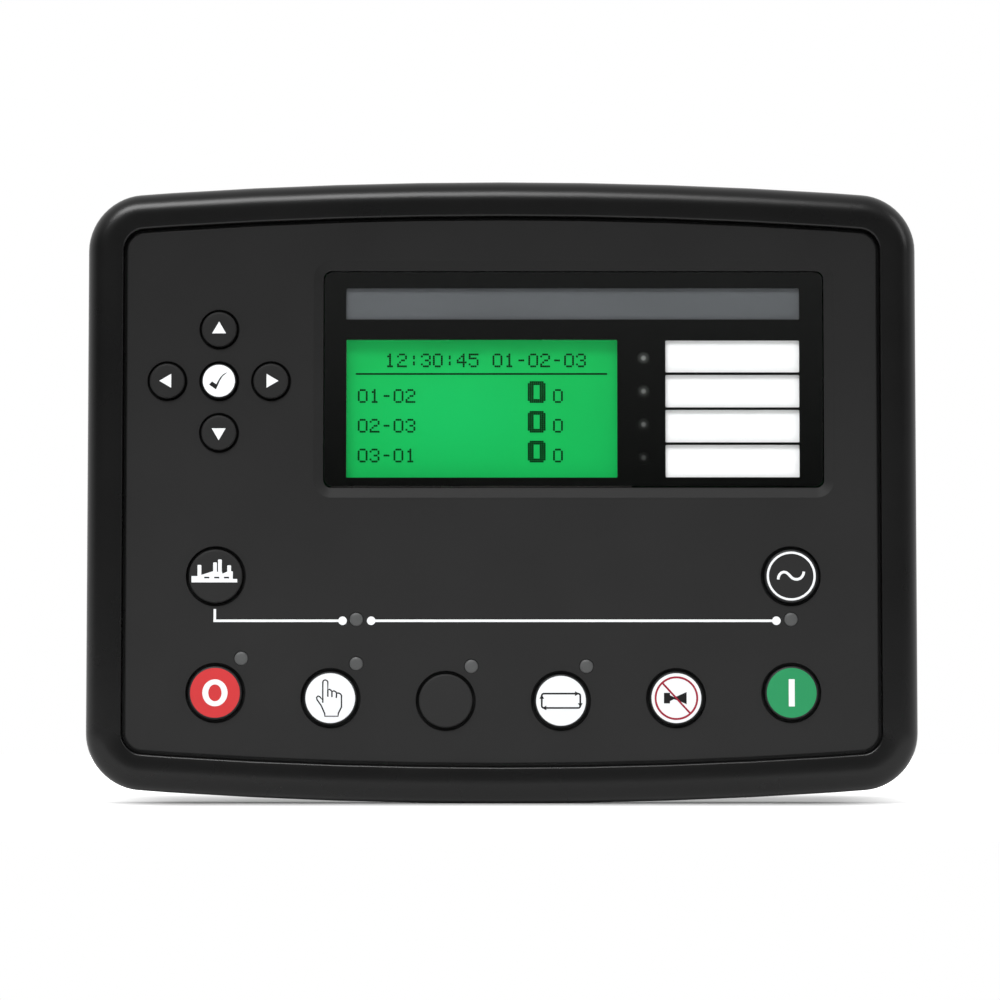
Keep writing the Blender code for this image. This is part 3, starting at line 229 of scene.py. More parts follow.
def turned(profile, centre, steps=64):
    """Spin a profile of (radius, height) points round an upright axis into a closed turned part."""
    shape = bmesh.new()
    line = [shape.verts.new((centre[0] + radius, centre[1], height)) for radius, height in profile]
    edges = [shape.edges.new(pair) for pair in zip(line, line[1:])]
    bmesh.ops.spin(shape, geom=line + edges, axis=(0, 0, 1), cent=(centre[0], centre[1], 0),
                   angle=2 * math.pi, steps=steps, use_merge=True, use_duplicate=False)
    bmesh.ops.remove_doubles(shape, verts=shape.verts, dist=1e-6)
    bmesh.ops.recalc_face_normals(shape, faces=shape.faces)
    return shape


# %% [markdown]
# ## Finishes
#
# The object is nearly all black and charcoal plastic, so its looks come from small differences: how
# glossy each moulding is, how fine the spark-eroded grain of the tool was, and how far the tone drifts
# over a large face. One function builds them all from Object coordinates, so that a pattern keeps its
# real size and stays put when the piece moves.

# %% One function for moulded and printed finishes
def srgb(red, green, blue):
    """A colour given as screen bytes, as the linear values that the shader wants."""
    def linear(value):
        value /= 255
        return value / 12.92 if value <= 0.04045 else ((value + 0.055) / 1.055) ** 2.4
    return (linear(red), linear(green), linear(blue), 1.0)


def connect(tree, node, inputs):
    """Set a node's inputs, by name or place, to values or to the outputs of other nodes."""
    for key, value in inputs.items():
        if isinstance(value, bpy.types.NodeSocket):
            tree.links.new(value, node.inputs[key])
        else:
            node.inputs[key].default_value = value
    return node


def add(tree, kind, inputs, **settings):
    """A new node with its settings and inputs."""
    node = tree.nodes.new("ShaderNode" + kind)
    for key, value in settings.items():
        setattr(node, key, value)
    return connect(tree, node, inputs)


def number(tree, operation, *values):
    """The outcome of one step of arithmetic."""
    return add(tree, "Math", dict(enumerate(values)), operation=operation).outputs["Value"]


def vector(tree, operation, *values, outcome="Vector"):
    """The outcome of one step of arithmetic on vectors."""
    return add(tree, "VectorMath", dict(enumerate(values)), operation=operation).outputs[outcome]


def ranged(tree, value, start, end, low=0.0, high=1.0, kind="LINEAR"):
    """A value carried over from one range to another."""
    spans = {"Value": value, "From Min": start, "From Max": end, "To Min": low, "To Max": high}
    return add(tree, "MapRange", spans, interpolation_type=kind).outputs["Result"]


def multiplied(tree, first, second):
    """The product of two colours."""
    inputs = {"Factor": 1.0, "A": first, "B": second}
    return add(tree, "Mix", inputs, data_type="RGBA", blend_type="MULTIPLY").outputs["Result"]


def ramp(tree, value, stops, kind="LINEAR"):
    """Colours along a value, from (place, colour) stops in rising order."""
    node = add(tree, "ValToRGB", {"Fac": value})
    node.color_ramp.interpolation = kind
    for i, (place, colour) in enumerate(stops):
        stop = node.color_ramp.elements[i] if i < 2 else node.color_ramp.elements.new(place)
        stop.position = place
        stop.color = colour
    return node.outputs["Color"]


def new_material(name):
    """A new material, its node tree and its shader."""
    material = bpy.data.materials.new(name)
    material.use_nodes = True
    return material, material.node_tree, material.node_tree.nodes["Principled BSDF"]


def moulded(name, colour, roughness, grain=0.00025, depth=0.000004, drift=0.12, gloss_drift=0.06,
            specular=0.5, metallic=0.0):
    """A plastic, rubber or painted finish with a fine grain, a slow drift in tone and uneven gloss."""
    material, tree, shader = new_material(name)
    place = add(tree, "TexCoord", {}).outputs["Object"]
    fine = add(tree, "TexNoise", {"Scale": 1 / grain, "Detail": 3, "Vector": place})
    bump = add(tree, "Bump", {"Strength": 1.0, "Distance": depth, "Height": fine.outputs["Fac"]})
    slow = add(tree, "TexNoise", {"Scale": 28, "Detail": 4, "Vector": place}).outputs["Fac"]
    tone = ranged(tree, slow, 0.3, 0.7, 1 - drift, 1 + drift)
    gloss = ranged(tree, slow, 0.25, 0.75, roughness - gloss_drift, roughness + gloss_drift)
    connect(tree, shader, {"Base Color": multiplied(tree, colour, tone), "Roughness": gloss,
                           "Normal": bump.outputs["Normal"], "Specular IOR Level": specular,
                           "Metallic": metallic})
    return material


def painted_light_below(material, top, foot, share):
    """Paint light into a finish: lighter from the top of the object to its foot by a share of its colour."""
    tree = material.node_tree
    place = tree.nodes["Texture Coordinate"].outputs["Object"]
    height = add(tree, "SeparateXYZ", {"Vector": place}).outputs["Z"]
    tone = ranged(tree, height, foot, top, 1 + share, 1 - share)
    shade = multiplied(tree, tree.nodes["Mix"].outputs["Result"], tone)
    connect(tree, tree.nodes["Principled BSDF"], {"Base Color": shade})


BEZEL_BLACK = moulded("bezel_black", srgb(11, 11, 11), 0.28, grain=0.00035, depth=0.000006, drift=0.10,
                      gloss_drift=0.02, specular=0.4)
FASCIA_GREY = moulded("fascia_charcoal", srgb(34, 34, 34), 0.48, grain=0.00022, depth=0.000006, drift=0.05,
                      gloss_drift=0.03, specular=0.15)
KEY_GREY = moulded("key_charcoal", srgb(36, 36, 36), 0.48, grain=0.0002, depth=0.000006, drift=0.05,
                   gloss_drift=0.03, specular=0.15)
# Painted light: the fascia and the plain keys are painted lighter towards the foot and darker towards the top.
for finish in (FASCIA_GREY, KEY_GREY):
    painted_light_below(finish, cad_high.z, cad_low.z, 0.32)
KEY_BLACK = moulded("key_black", srgb(16, 17, 18), 0.50, grain=0.0002, depth=0.000006, drift=0.08)
INK_WHITE = moulded("white_print", srgb(230, 232, 234), 0.50, grain=0.0003, depth=0.000002, drift=0.015,
                    specular=0.25)
INK_RED = moulded("red_print", srgb(196, 49, 52), 0.45, grain=0.0003, depth=0.000003, drift=0.04,
                  specular=0.25)
INK_GREEN = moulded("green_print", srgb(35, 140, 87), 0.45, grain=0.0003, depth=0.000003, drift=0.04,
                    specular=0.25)
INK_DARK = moulded("dark_print", srgb(15, 15, 16), 0.50, grain=0.0003, depth=0.000002, drift=0.03,
                   specular=0.25)
INK_CRIMSON = moulded("crimson_print", srgb(150, 26, 50), 0.45, grain=0.0003, depth=0.000003, drift=0.04,
                      specular=0.25)
MASK_BLACK = moulded("mask_black", srgb(9, 10, 9), 0.50, grain=0.0004, depth=0.000001, drift=0.06,
                     specular=0.0)
CARD_WHITE = moulded("card_white", srgb(254, 254, 255), 0.65, grain=0.0002, depth=0.000004, drift=0.015)
CARD_GREY = moulded("card_grey", srgb(81, 84, 88), 0.60, grain=0.0002, depth=0.000004, drift=0.05)
PIPE_GREY = moulded("light_pipe_grey", srgb(74, 75, 75), 0.45, grain=0.0003, depth=0.000004, drift=0.06)
HOUSING_BLACK = moulded("housing_black", srgb(30, 30, 31), 0.50, grain=0.0004, depth=0.00001, drift=0.10)
GASKET_GREY = moulded("gasket_foam", srgb(52, 52, 54), 0.85, grain=0.0006, depth=0.00004, drift=0.12)
BOARD_GREEN = moulded("board_lacquer", srgb(24, 84, 48), 0.30, grain=0.0008, depth=0.000004, drift=0.10)
PLUG_GREEN = moulded("plug_green", srgb(46, 128, 62), 0.42, grain=0.0003, depth=0.000006, drift=0.07)
SOCKET_BLACK = moulded("socket_black", srgb(20, 20, 21), 0.48, grain=0.0003, depth=0.000006, drift=0.08)
RELAY_BLUE = moulded("relay_blue", srgb(36, 84, 150), 0.35, grain=0.0004, depth=0.000004, drift=0.06)
SLEEVE_BLACK = moulded("capacitor_sleeve", srgb(24, 26, 34), 0.30, grain=0.0006, depth=0.000004, drift=0.05)
STEEL = moulded("plated_steel", srgb(196, 196, 192), 0.28, grain=0.0004, depth=0.000003, drift=0.05,
                metallic=1.0)
CONTACT_GOLD = moulded("contact_gold", srgb(224, 182, 96), 0.25, grain=0.0004, depth=0.000002, drift=0.05,
                       metallic=1.0)
CONNECTOR_WHITE = moulded("tongue_white", srgb(214, 214, 208), 0.45, grain=0.0003, depth=0.000004, drift=0.04)
print("finishes", len(bpy.data.materials))

# %% [markdown]
# ## Glass and light
#
# The window is a clear sheet, so it is a mix of a transparent shader and a glossy one by Fresnel. A
# refracting glass shader would look the same on a flat sheet, but would keep the lamps from lighting
# the cards behind it. The display glows: its colour comes half from the light that falls on it and
# half from the backlight.

# %% Clear lens, lit display and alarm lights
def clear_sheet(name, roughness):
    """A clear pane: the view through it, and a reflection that grows towards grazing angles."""
    material, tree, shader = new_material(name)
    tree.nodes.remove(shader)
    through = add(tree, "BsdfTransparent", {"Color": (0.992, 0.996, 0.994, 1.0)})
    shine = add(tree, "BsdfGlossy", {"Roughness": roughness})
    facing = add(tree, "LayerWeight", {"Blend": 0.5})
    share = ranged(tree, number(tree, "POWER", facing.outputs["Facing"], 5.0), 0.0, 1.0, 0.04)
    pane = add(tree, "MixShader", {"Fac": share, 1: through.outputs["BSDF"], 2: shine.outputs["BSDF"]})
    connect(tree, tree.nodes["Material Output"], {"Surface": pane.outputs["Shader"]})
    return material


def glowing(name, middle, reach, bright, dark, strength):
    """A lit display: brightest in its middle, a little darker and uneven towards its edges."""
    material = moulded(name, dark, 0.45, grain=0.0005, depth=0.000001, drift=0.05, specular=0.1)
    tree = material.node_tree
    place = add(tree, "TexCoord", {}).outputs["Object"]
    centred = add(tree, "Mapping", {"Vector": place, "Scale": [1 / r for r in reach],
                                    "Location": [-m / r for m, r in zip(middle, reach)]})
    distance = vector(tree, "LENGTH", centred.outputs["Vector"], outcome="Value")
    cloud = add(tree, "TexNoise", {"Scale": 30, "Detail": 2, "Vector": place})
    uneven = number(tree, "MULTIPLY_ADD", cloud.outputs["Fac"], 0.5, distance)
    glow = ramp(tree, uneven, ((0.45, bright), (1.0, dark)))
    connect(tree, tree.nodes["Principled BSDF"], {"Emission Color": glow, "Emission Strength": strength})
    return material


LENS_CLEAR = clear_sheet("lens_clear", 0.04)
cell_low, cell_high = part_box("lcd_glass")
LCD_LIT = glowing("display_green", (cell_low + cell_high) / 2 - Vector((0.010, 0, 0)), (0.048, 0.02, 0.026),
                  srgb(7, 171, 89), srgb(2, 152, 70), 0.50)
LCD_INK = moulded("display_dots", srgb(2, 40, 14), 0.60, drift=0.05, specular=0.0)
LED_SMOKE = moulded("alarm_light_smoke", srgb(112, 114, 113), 0.22, drift=0.05, specular=0.8)


def painted_glint_spots(name, first, pitch, reach, shades):
    """Round windows in a row, each a grey dome seen through smoke with a painted highlight in its middle that
    fades into the mask, and painted shade that makes each lower one darker.
    """
    material = moulded(name, shades[0], 0.5, drift=0.02, specular=0.0)
    tree = material.node_tree
    centred = vector(tree, "SUBTRACT", add(tree, "TexCoord", {}).outputs["Object"], first)
    row = vector(tree, "WRAP", centred, (1, 1, pitch / 2), (-1, -1, -pitch / 2))
    flat = vector(tree, "MULTIPLY", row, (1 / reach, 0, 1 / reach))
    distance = vector(tree, "LENGTH", flat, outcome="Value")
    # Painted highlight: light in the middle of each spot, fading into the mask's black.
    fade = ramp(tree, distance, zip((0.12, 0.5, 1.0), shades), "EASE")
    height = add(tree, "SeparateXYZ", {"Vector": centred}).outputs["Z"]
    # Painted shade: each spot lower down is painted darker.
    dim = ranged(tree, height, -3 * pitch, 0.0, 0.25)
    connect(tree, tree.nodes["Principled BSDF"], {"Base Color": multiplied(tree, fade, dim)})
    return material


# %% [markdown]
# ## The bezel
#
# The surround is one moulding with a rolled rim, whose top and bottom edges bow out. It could be a
# curve with a profile, but a curve pinches its profile at the corners. Here the outline is a grid
# with its edge bent to the bow and its four corner vertices bevelled. Then the face climbs: each small
# inset with a rise adds one ring of the roll, so the corners stay even all the way round.

# %% Outline of the bezel
BOW_RADIUS = 1.5
CORNER_RADIUS = 0.0168
BOW_STEPS = 10

bezel_low, bezel_high = drawn_box("front_bezel")
HALF_WIDTH = bezel_high.x
HALF_HEIGHT = bezel_high.y


def bow_height(x):
    """Height of the bowed top edge at a place across."""
    return HALF_HEIGHT - BOW_RADIUS + math.sqrt(BOW_RADIUS ** 2 - x ** 2)


def bowed_outline(inset, height, steps=14):
    """The bezel's outline as a flat face, moved inwards by the given distance."""
    shape = bmesh.new()
    size = Matrix.Diagonal((2 * HALF_WIDTH, 2 * HALF_HEIGHT, 1.0, 1.0))
    bmesh.ops.create_grid(shape, x_segments=BOW_STEPS, y_segments=1, size=0.5, matrix=size)
    bmesh.ops.dissolve_faces(shape, faces=shape.faces[:])
    for vert in shape.verts:
        vert.co.y = math.copysign(bow_height(vert.co.x), vert.co.y)
    corners = [vert for vert in shape.verts if abs(vert.co.x) > HALF_WIDTH - 1e-6]
    first = HALF_WIDTH * (1 - 2 / BOW_STEPS)
    slope = math.atan2(bow_height(first) - bow_height(HALF_WIDTH), HALF_WIDTH - first)
    reach = CORNER_RADIUS / math.tan((math.pi / 2 + slope) / 2)
    bmesh.ops.bevel(shape, geom=corners, offset=reach, offset_type="OFFSET", segments=steps,
                    profile=0.5, affect="VERTICES", material=-1)
    bmesh.ops.translate(shape, verts=shape.verts, vec=(0, 0, height))
    if inset:
        face = shape.faces[:][0]
        bmesh.ops.inset_region(shape, faces=[face], thickness=inset, use_even_offset=True,
                               use_boundary=True)
        bmesh.ops.delete(shape, geom=[other for other in shape.faces if other is not face],
                         context="FACES")
    return shape


print("bezel outline", HALF_WIDTH * 2000, "x", HALF_HEIGHT * 2000, "mm")

# %% Sizes of the rim and the carrier
SKIRT_FOOT = 0.0005
SKIRT_WALL = 0.0024
RIM_HEIGHT = bezel_high.z
ROLL_HEIGHT = 0.0053
CREST_INSET = 0.0060
INNER_LIP_DROP = 0.0003
LIP_RADIUS = 0.0006
GROOVE_INSET = 0.0107
GROOVE_WIDTH = 0.0010
GROOVE_FOOT = 0.0013
CARRIER_FACE = 0.0111
CARRIER_BACK = 0.0086
GROOVE_FLOOR = 0.0096
ROLL_START = RIM_HEIGHT - ROLL_HEIGHT


def rim_section():
    """Points (inset, height) of the rim from the outer wall over the roll to the groove."""
    section = [(0.0, ROLL_START)]
    section += [(CREST_INSET * (1 - cos), ROLL_START + ROLL_HEIGHT * sin) for sin, cos in quarter_turn(12)]
    slope = GROOVE_INSET - LIP_RADIUS - CREST_INSET
    for part in (0.2, 0.4, 0.6, 0.8, 1.0):
        section.append((CREST_INSET + slope * part, RIM_HEIGHT - INNER_LIP_DROP * part ** 2))
    section += [(GROOVE_INSET - LIP_RADIUS * (1 - sin), RIM_HEIGHT - INNER_LIP_DROP - LIP_RADIUS * (1 - cos))
                for sin, cos in quarter_turn(4)]
    ledge = GROOVE_INSET + GROOVE_FOOT
    section += [(GROOVE_INSET, GROOVE_FLOOR), (ledge, GROOVE_FLOOR), (ledge, CARRIER_FACE)]
    return section


def differences(section, sign=1):
    """Steps (inset, rise) between the points of a section."""
    return [(b[0] - a[0], sign * (b[1] - a[1])) for a, b in zip(section, section[1:])]


# %% Bezel moulding
NAV_KEYS = ("up", "down", "left", "right", "select")
ROUND_KEYS = ("load", "generator", "stop", "manual", "test", "auto", "mute", "start")
ALL_KEYS = NAV_KEYS + ROUND_KEYS
PIPES = ("stop", "manual", "test", "auto", "load", "generator")
KEY_PLACES = {name: drawn_centre("key_" + name) for name in ALL_KEYS}
PIPE_PLACES = {name: drawn_centre("indicator_" + name) for name in PIPES}
KEY_RADIUS = 0.00787
NAV_RADIUS = 0.00515
PIPE_RADIUS = 0.00198
KEY_ROOM, PIPE_ROOM, WINDOW_ROOM = 0.0010, 0.0003, 0.0006


def cap_radius(name):
    """Radius of a key cap."""
    return NAV_RADIUS if name in NAV_KEYS else KEY_RADIUS


bezel = bowed_outline(0.0, SKIRT_FOOT)
front = lifted(bezel, ROLL_START - SKIRT_FOOT)[0]
bezel.faces.ensure_lookup_table()
back = min(bezel.faces, key=lambda face: face.normal.z)
climb(bezel, front, differences(rim_section()))
inside = [(0.0, SKIRT_FOOT), (SKIRT_WALL, SKIRT_FOOT), (SKIRT_WALL, ROLL_START)]
inside += [(SKIRT_WALL + CREST_INSET * (1 - cos), ROLL_START + (ROLL_HEIGHT - SKIRT_WALL) * sin)
           for sin, cos in quarter_turn(3)]
inside.append((GROOVE_INSET - LIP_RADIUS, CARRIER_BACK))
climb(bezel, back, differences(inside, -1))

window_low, window_high = drawn_box("display_window")
window_centre = (window_low + window_high) / 2
window_size = window_high - window_low
low = CARRIER_BACK - 0.001
deep = CARRIER_FACE - CARRIER_BACK + 0.002
holes = [push_out(disc(place, cap_radius(name) + KEY_ROOM, low), deep) for name, place in KEY_PLACES.items()]
holes += [push_out(disc(place, PIPE_RADIUS + PIPE_ROOM, low, 24), deep) for place in PIPE_PLACES.values()]
room = (window_size.x + WINDOW_ROOM, window_size.y + WINDOW_ROOM)
holes.append(push_out(rectangle(window_centre, room, low), deep))
bezel = carve(bezel, gather(*holes))
print("bezel faces", len(bezel.faces))
finish_piece("bezel_moulding", bezel, BEZEL_BLACK, stands_for=["front_bezel"])

# %% [markdown]
# ## The fascia
#
# The charcoal plate carries the keys. It follows the bezel's outline at one even distance, which
# leaves the dark groove between them. Its holes could be made by bridging edge loops, but a plate with
# twenty openings is quicker to carve: discs for the keys and a stepped block for the window, whose
# edge slopes down to the lens.

# %% Fascia plate
FASCIA_FACE = drawn_box("front_fascia")[1].z
FASCIA_BACK = drawn_box("front_fascia")[0].z
FASCIA_EDGE = 0.00025
KEY_GAP = 0.0009
NAV_GAP = 0.0007
WINDOW_SLOPE = 0.0029
WINDOW_DROP = 0.0011
WINDOW_CORNER = 0.0024
WINDOW_GAPS = (0.0006, 0.0009)
WINDOW_SHIFT = 0.00015
WELL_LEAD = 0.0005
HOLE_EDGE = 0.00012

plate = push_out(bowed_outline(GROOVE_INSET + GROOVE_WIDTH, FASCIA_BACK),
                 FASCIA_FACE - FASCIA_BACK - FASCIA_EDGE, [(FASCIA_EDGE, FASCIA_EDGE)])
low = FASCIA_BACK - 0.001
deep = FASCIA_FACE - FASCIA_BACK + 0.002
holes = []
for name, place in KEY_PLACES.items():
    gap = NAV_GAP if name in NAV_KEYS else KEY_GAP
    holes.append(push_out(disc(place, cap_radius(name) + gap, low, 72), deep))
holes += [push_out(disc(place, PIPE_RADIUS + 0.0001, low, 32), deep) for place in PIPE_PLACES.values()]
opening = (window_size.x + WINDOW_GAPS[0], window_size.y + WINDOW_GAPS[1])
outer = (opening[0] + 2 * WINDOW_SLOPE, opening[1] + 2 * WINDOW_SLOPE)
well = rectangle(window_centre - Vector((0, WINDOW_SHIFT, 0)), outer, FASCIA_FACE + WELL_LEAD,
                 WINDOW_CORNER + WINDOW_SLOPE, 10)
climb(well, lifted(well, -WELL_LEAD)[0], [(WINDOW_SLOPE, WINDOW_DROP), (0, 0.0015)])
plate = carve(plate, gather(well, *holes))
soften(plate, HOLE_EDGE, 1, keep=lambda edge: min(v.co.z for v in edge.verts) > FASCIA_FACE - 0.0001)
print("fascia faces", len(plate.faces))
finish_piece("fascia_plate", plate, FASCIA_GREY, stands_for=["front_fascia"],
             crease=math.radians(8))

# %% [markdown]
# ## Printed line
#
# A white line joins the load key, the two supply lights and the generator key, as on a wiring plan.
# It is printed on the fascia. A texture could draw it, but a line this crisp is better as a film of
# ink: thin plates that stand a twentieth of a millimetre proud.

# %% Ink helpers and the line
INK_HEIGHT = 0.00005


def ink(shapes, extra=0.0):
    """Give flat faces the thickness of a film of ink."""
    return gather(*[push_out(shape, INK_HEIGHT + extra) for shape in shapes])


LINE_WIDTH = 0.00074
DOT_RADIUS = 0.00126
LINE_UP = PIPE_PLACES["load"].y - 0.0004
runs = [((-0.08485, LINE_UP), (-0.04686, LINE_UP)), ((-0.03843, LINE_UP), (0.08079, LINE_UP))]
strokes = [rectangle(((a[0] + b[0]) / 2, a[1]), (b[0] - a[0], LINE_WIDTH), FASCIA_FACE)
           for a, b in runs]
rise = -0.0349 - LINE_UP - LINE_WIDTH / 2
strokes.append(rectangle((-0.08445, LINE_UP + LINE_WIDTH / 2 + rise / 2), (LINE_WIDTH, rise), FASCIA_FACE))
ends = [disc((x, LINE_UP), DOT_RADIUS, FASCIA_FACE, 32) for x in (-0.04686, -0.03843, 0.08079)]
finish_piece("supply_line", gather(ink(strokes), ink(ends, INK_HEIGHT)), INK_WHITE)

# %% [markdown]
# ## Keys
#
# Each key is a round cap that slides in the bezel and stands a little proud of the fascia, with a
# rounded edge that catches the light. A turned part is a profile that is spun, so the cap is drawn as
# half a section. It rides on its own body, and the frame moves it.

# %% Key caps
KEY_FACE = drawn_box("key_stop")[1].z
KEY_BACK = drawn_box("key_stop")[0].z
CAP_EDGE = 0.0006
PRINTED_KEYS = ("select", "generator", "stop", "manual", "auto", "mute", "start")


def cap_profile(radius):
    """Half a section of a key cap from the middle of its face to the middle of its back."""
    flange = radius + 0.0009
    points = [(0.0, KEY_FACE), (radius - 3 * CAP_EDGE, KEY_FACE)]
    points += [(radius - CAP_EDGE * (1 - sin), KEY_FACE - CAP_EDGE * (1 - cos))
               for sin, cos in quarter_turn(6, 0)]
    return points + [(radius, KEY_BACK + 0.001), (flange, KEY_BACK + 0.001), (flange, KEY_BACK),
                     (0.0, KEY_BACK)]


for name, place in KEY_PLACES.items():
    finish = KEY_BLACK if name in PRINTED_KEYS else KEY_GREY
    finish_piece("cap_" + name, turned(cap_profile(cap_radius(name)), place, 72), finish,
                 body=name + "_button", stands_for=["key_" + name])
print("key caps", len(KEY_PLACES), "face at", round(KEY_FACE * 1000, 2), "mm")

# %% [markdown]
# ## Symbols on the keys
#
# The symbols are printed films as well. Solid ones, such as the bar and the arrows, are polygons that
# are pushed out. Drawn ones, such as the hand, are pen strokes: a curve with a round bevel follows the
# pen's path, becomes a mesh and is pressed flat.

# %% Printing helpers
def at_key(name, points):
    """Points in millimetres from a key's middle, as places on the drawing."""
    centre = KEY_PLACES[name] * 1000
    return [(centre.x + x, centre.y + y) for x, y in points]


def pen_strokes(paths, width, height):
    """Rounded pen strokes along paths of points in millimetres; each path is (points, closed)."""
    curve = bpy.data.curves.new("pen", "CURVE")
    curve.dimensions = "3D"
    curve.bevel_depth = width / 2
    curve.bevel_resolution = 2
    curve.use_fill_caps = True
    for points, closed in paths:
        spline = curve.splines.new("POLY")
        spline.points.add(len(points) - 1)
        for knot, (x, y) in zip(spline.points, points):
            knot.co = (x / 1000, y / 1000, 0.0, 1.0)
        spline.use_cyclic_u = closed
    drawing = bpy.data.objects.new("pen", curve)
    scene.collection.objects.link(drawing)
    mesh = bpy.data.meshes.new_from_object(drawing.evaluated_get(bpy.context.evaluated_depsgraph_get()))
    shape = bmesh.new()
    shape.from_mesh(mesh)
    bpy.data.objects.remove(drawing)
    bpy.data.curves.remove(curve)
    bpy.data.meshes.remove(mesh)
    bmesh.ops.scale(shape, verts=shape.verts, vec=(1, 1, 2 * INK_HEIGHT / width))
    bmesh.ops.translate(shape, verts=shape.verts, vec=(0, 0, height))
    return shape


def ring(centre, outer, width, height, steps=64):
    """A flat ring of ink."""
    shape = disc(centre, outer, height, steps)
    face = shape.faces[:][0]
    bmesh.ops.inset_region(shape, faces=[face], thickness=width, use_even_offset=True,
                           use_boundary=True)
    bmesh.ops.delete(shape, geom=[face], context="FACES_ONLY")
    lifted(shape, INK_HEIGHT)
    return shape


def print_on(name, what, shape, finish):
    """Fix a printed film to a key."""
    finish_piece(what + "_" + name, shape, finish, body=name + "_button")


def print_outline(name, what, points, height, finish):
    """Fix a film with the given outline to a key."""
    print_on(name, what, ink([polygon(at_key(name, points), height)]), finish)


# %% Coloured discs under the symbols
DISC_RADIUS, NAV_DISC_RADIUS = 0.0073, 0.00474
SYMBOL_FACE = KEY_FACE + INK_HEIGHT
DISCS = {"stop": INK_RED, "manual": INK_WHITE, "auto": INK_WHITE, "mute": INK_WHITE, "start": INK_GREEN,
         "select": INK_WHITE, "generator": KEY_GREY}
for name, finish in DISCS.items():
    radius = NAV_DISC_RADIUS if name == "select" else DISC_RADIUS
    print_on(name, "disc", ink([disc(KEY_PLACES[name], radius, KEY_FACE)]), finish)

# %% Arrows, tick, bar and ring
ARROW = ((-2.06, -1.24), (2.06, -1.24), (0.0, 2.28))
for name, turn in (("up", 0), ("left", 90), ("down", 180), ("right", 270)):
    swing = Matrix.Rotation(math.radians(turn), 2)
    points = [tuple(swing @ Vector(point)) for point in ARROW]
    print_outline(name, "arrow", points, KEY_FACE, INK_WHITE)
TICK = ((-2.88, -1.14), (-2.03, -0.2), (-0.78, -1.03), (-0.3, -0.2), (0.34, 0.92), (1.25, 1.9),
        (2.38, 2.5), (2.3, 2.34), (1.12, 1.4), (0.28, 0.05), (-0.39, -1.5), (-0.85, -2.53))
print_outline("select", "tick", TICK, SYMBOL_FACE, INK_DARK)
bar = rectangle(KEY_PLACES["start"], (0.00176, 0.0080), SYMBOL_FACE, 0.00012, 2)
print_on("start", "bar", ink([bar]), INK_WHITE)
OVAL_RADIUS, OVAL_STROKE, OVAL_STRETCH, HOLE_STRETCH = 0.00371, 0.00175, 1.065, 1.18
oval = ring(Vector((0, 0)), OVAL_RADIUS, OVAL_STROKE, SYMBOL_FACE)
inner = [vert for vert in oval.verts if vert.co.to_2d().length < OVAL_RADIUS - OVAL_STROKE / 2]
bmesh.ops.scale(oval, verts=inner, vec=(1, HOLE_STRETCH, 1))
bmesh.ops.scale(oval, verts=oval.verts, vec=(1, OVAL_STRETCH, 1))
bmesh.ops.translate(oval, verts=oval.verts, vec=KEY_PLACES["stop"].to_3d())
print_on("stop", "ring", oval, INK_WHITE)

# %% Wave in a ring, and the works with its chimneys
print_on("generator", "ring", ring(KEY_PLACES["generator"], 0.00720, 0.00064, SYMBOL_FACE),
         INK_WHITE)
WAVE = [(-3.85, -1.0), (-3.75, -0.35), (-3.45, 0.4), (-2.9, 0.95), (-2.15, 1.18), (-1.4, 1.02),
        (-0.75, 0.5), (-0.2, -0.1), (0.35, -0.62), (1.1, -0.95), (1.9, -0.98), (2.7, -0.65),
        (3.3, -0.05), (3.62, 0.65), (3.72, 1.3)]
print_on("generator", "wave", pen_strokes([(at_key("generator", WAVE), False)], 0.00078, SYMBOL_FACE),
         INK_WHITE)
WORKS = ((-7.04, -1.87), (-7.04, 0.0), (-5.28, 0.0), (-5.28, 3.12), (-5.1, 3.28), (-4.35, 3.28),
         (-4.16, 3.12), (-4.16, 0.32), (-0.68, 1.42), (-0.68, 3.85), (-0.5, 4.02), (0.25, 4.02),
         (0.41, 3.85), (0.41, 1.3), (0.75, 1.2), (0.75, 4.7), (0.92, 4.88), (1.65, 4.88),
         (1.84, 4.7), (1.84, 1.3), (2.1, 0.7), (3.48, 1.3), (3.48, 3.0), (3.66, 3.15),
         (4.4, 3.15), (4.57, 3.0), (4.57, 1.42), (5.1, 1.35), (5.1, -0.86), (6.4, -0.86),
         (6.4, -1.87))
print_outline("load", "works", WORKS, KEY_FACE, INK_WHITE)
panes = [rectangle(KEY_PLACES["load"] + Vector((x, -0.00045)), (0.0015, 0.00042), SYMBOL_FACE)
         for x in (-0.00255, 0.00037, 0.00326)]
print_on("load", "panes", ink(panes), INK_DARK)

# %% Pointing hand
HAND = [(-2.2, -0.05), (-2.2, 4.72), (-2.0, 5.15), (-1.5, 5.36), (-0.98, 5.15), (-0.72, 4.72),
        (-0.72, 2.5), (-0.25, 2.58), (0.2, 2.3), (0.48, 1.95), (1.05, 2.15), (1.55, 1.9),
        (1.88, 1.5), (2.4, 1.5), (3.0, 1.25), (3.3, 0.75), (3.3, -2.6), (2.4, -4.4),
        (2.28, -5.3), (-1.55, -5.3), (-1.62, -4.55), (-2.66, -2.2), (-3.9, -0.42), (-4.02, 0.2),
        (-3.6, 0.62), (-3.05, 0.4), (-2.2, -0.6)]
CREASES = [[(-2.19, -0.03), (-2.2, -1.35)], [(-0.71, 2.47), (-0.72, 0.4)], [(0.49, 1.93), (0.48, 0.3)],
           [(1.87, 1.48), (1.76, 0.05)]]
paths = [(at_key("manual", HAND), True)] + [(at_key("manual", crease), False) for crease in CREASES]
print_on("manual", "hand", pen_strokes(paths, 0.00042, SYMBOL_FACE), INK_DARK)

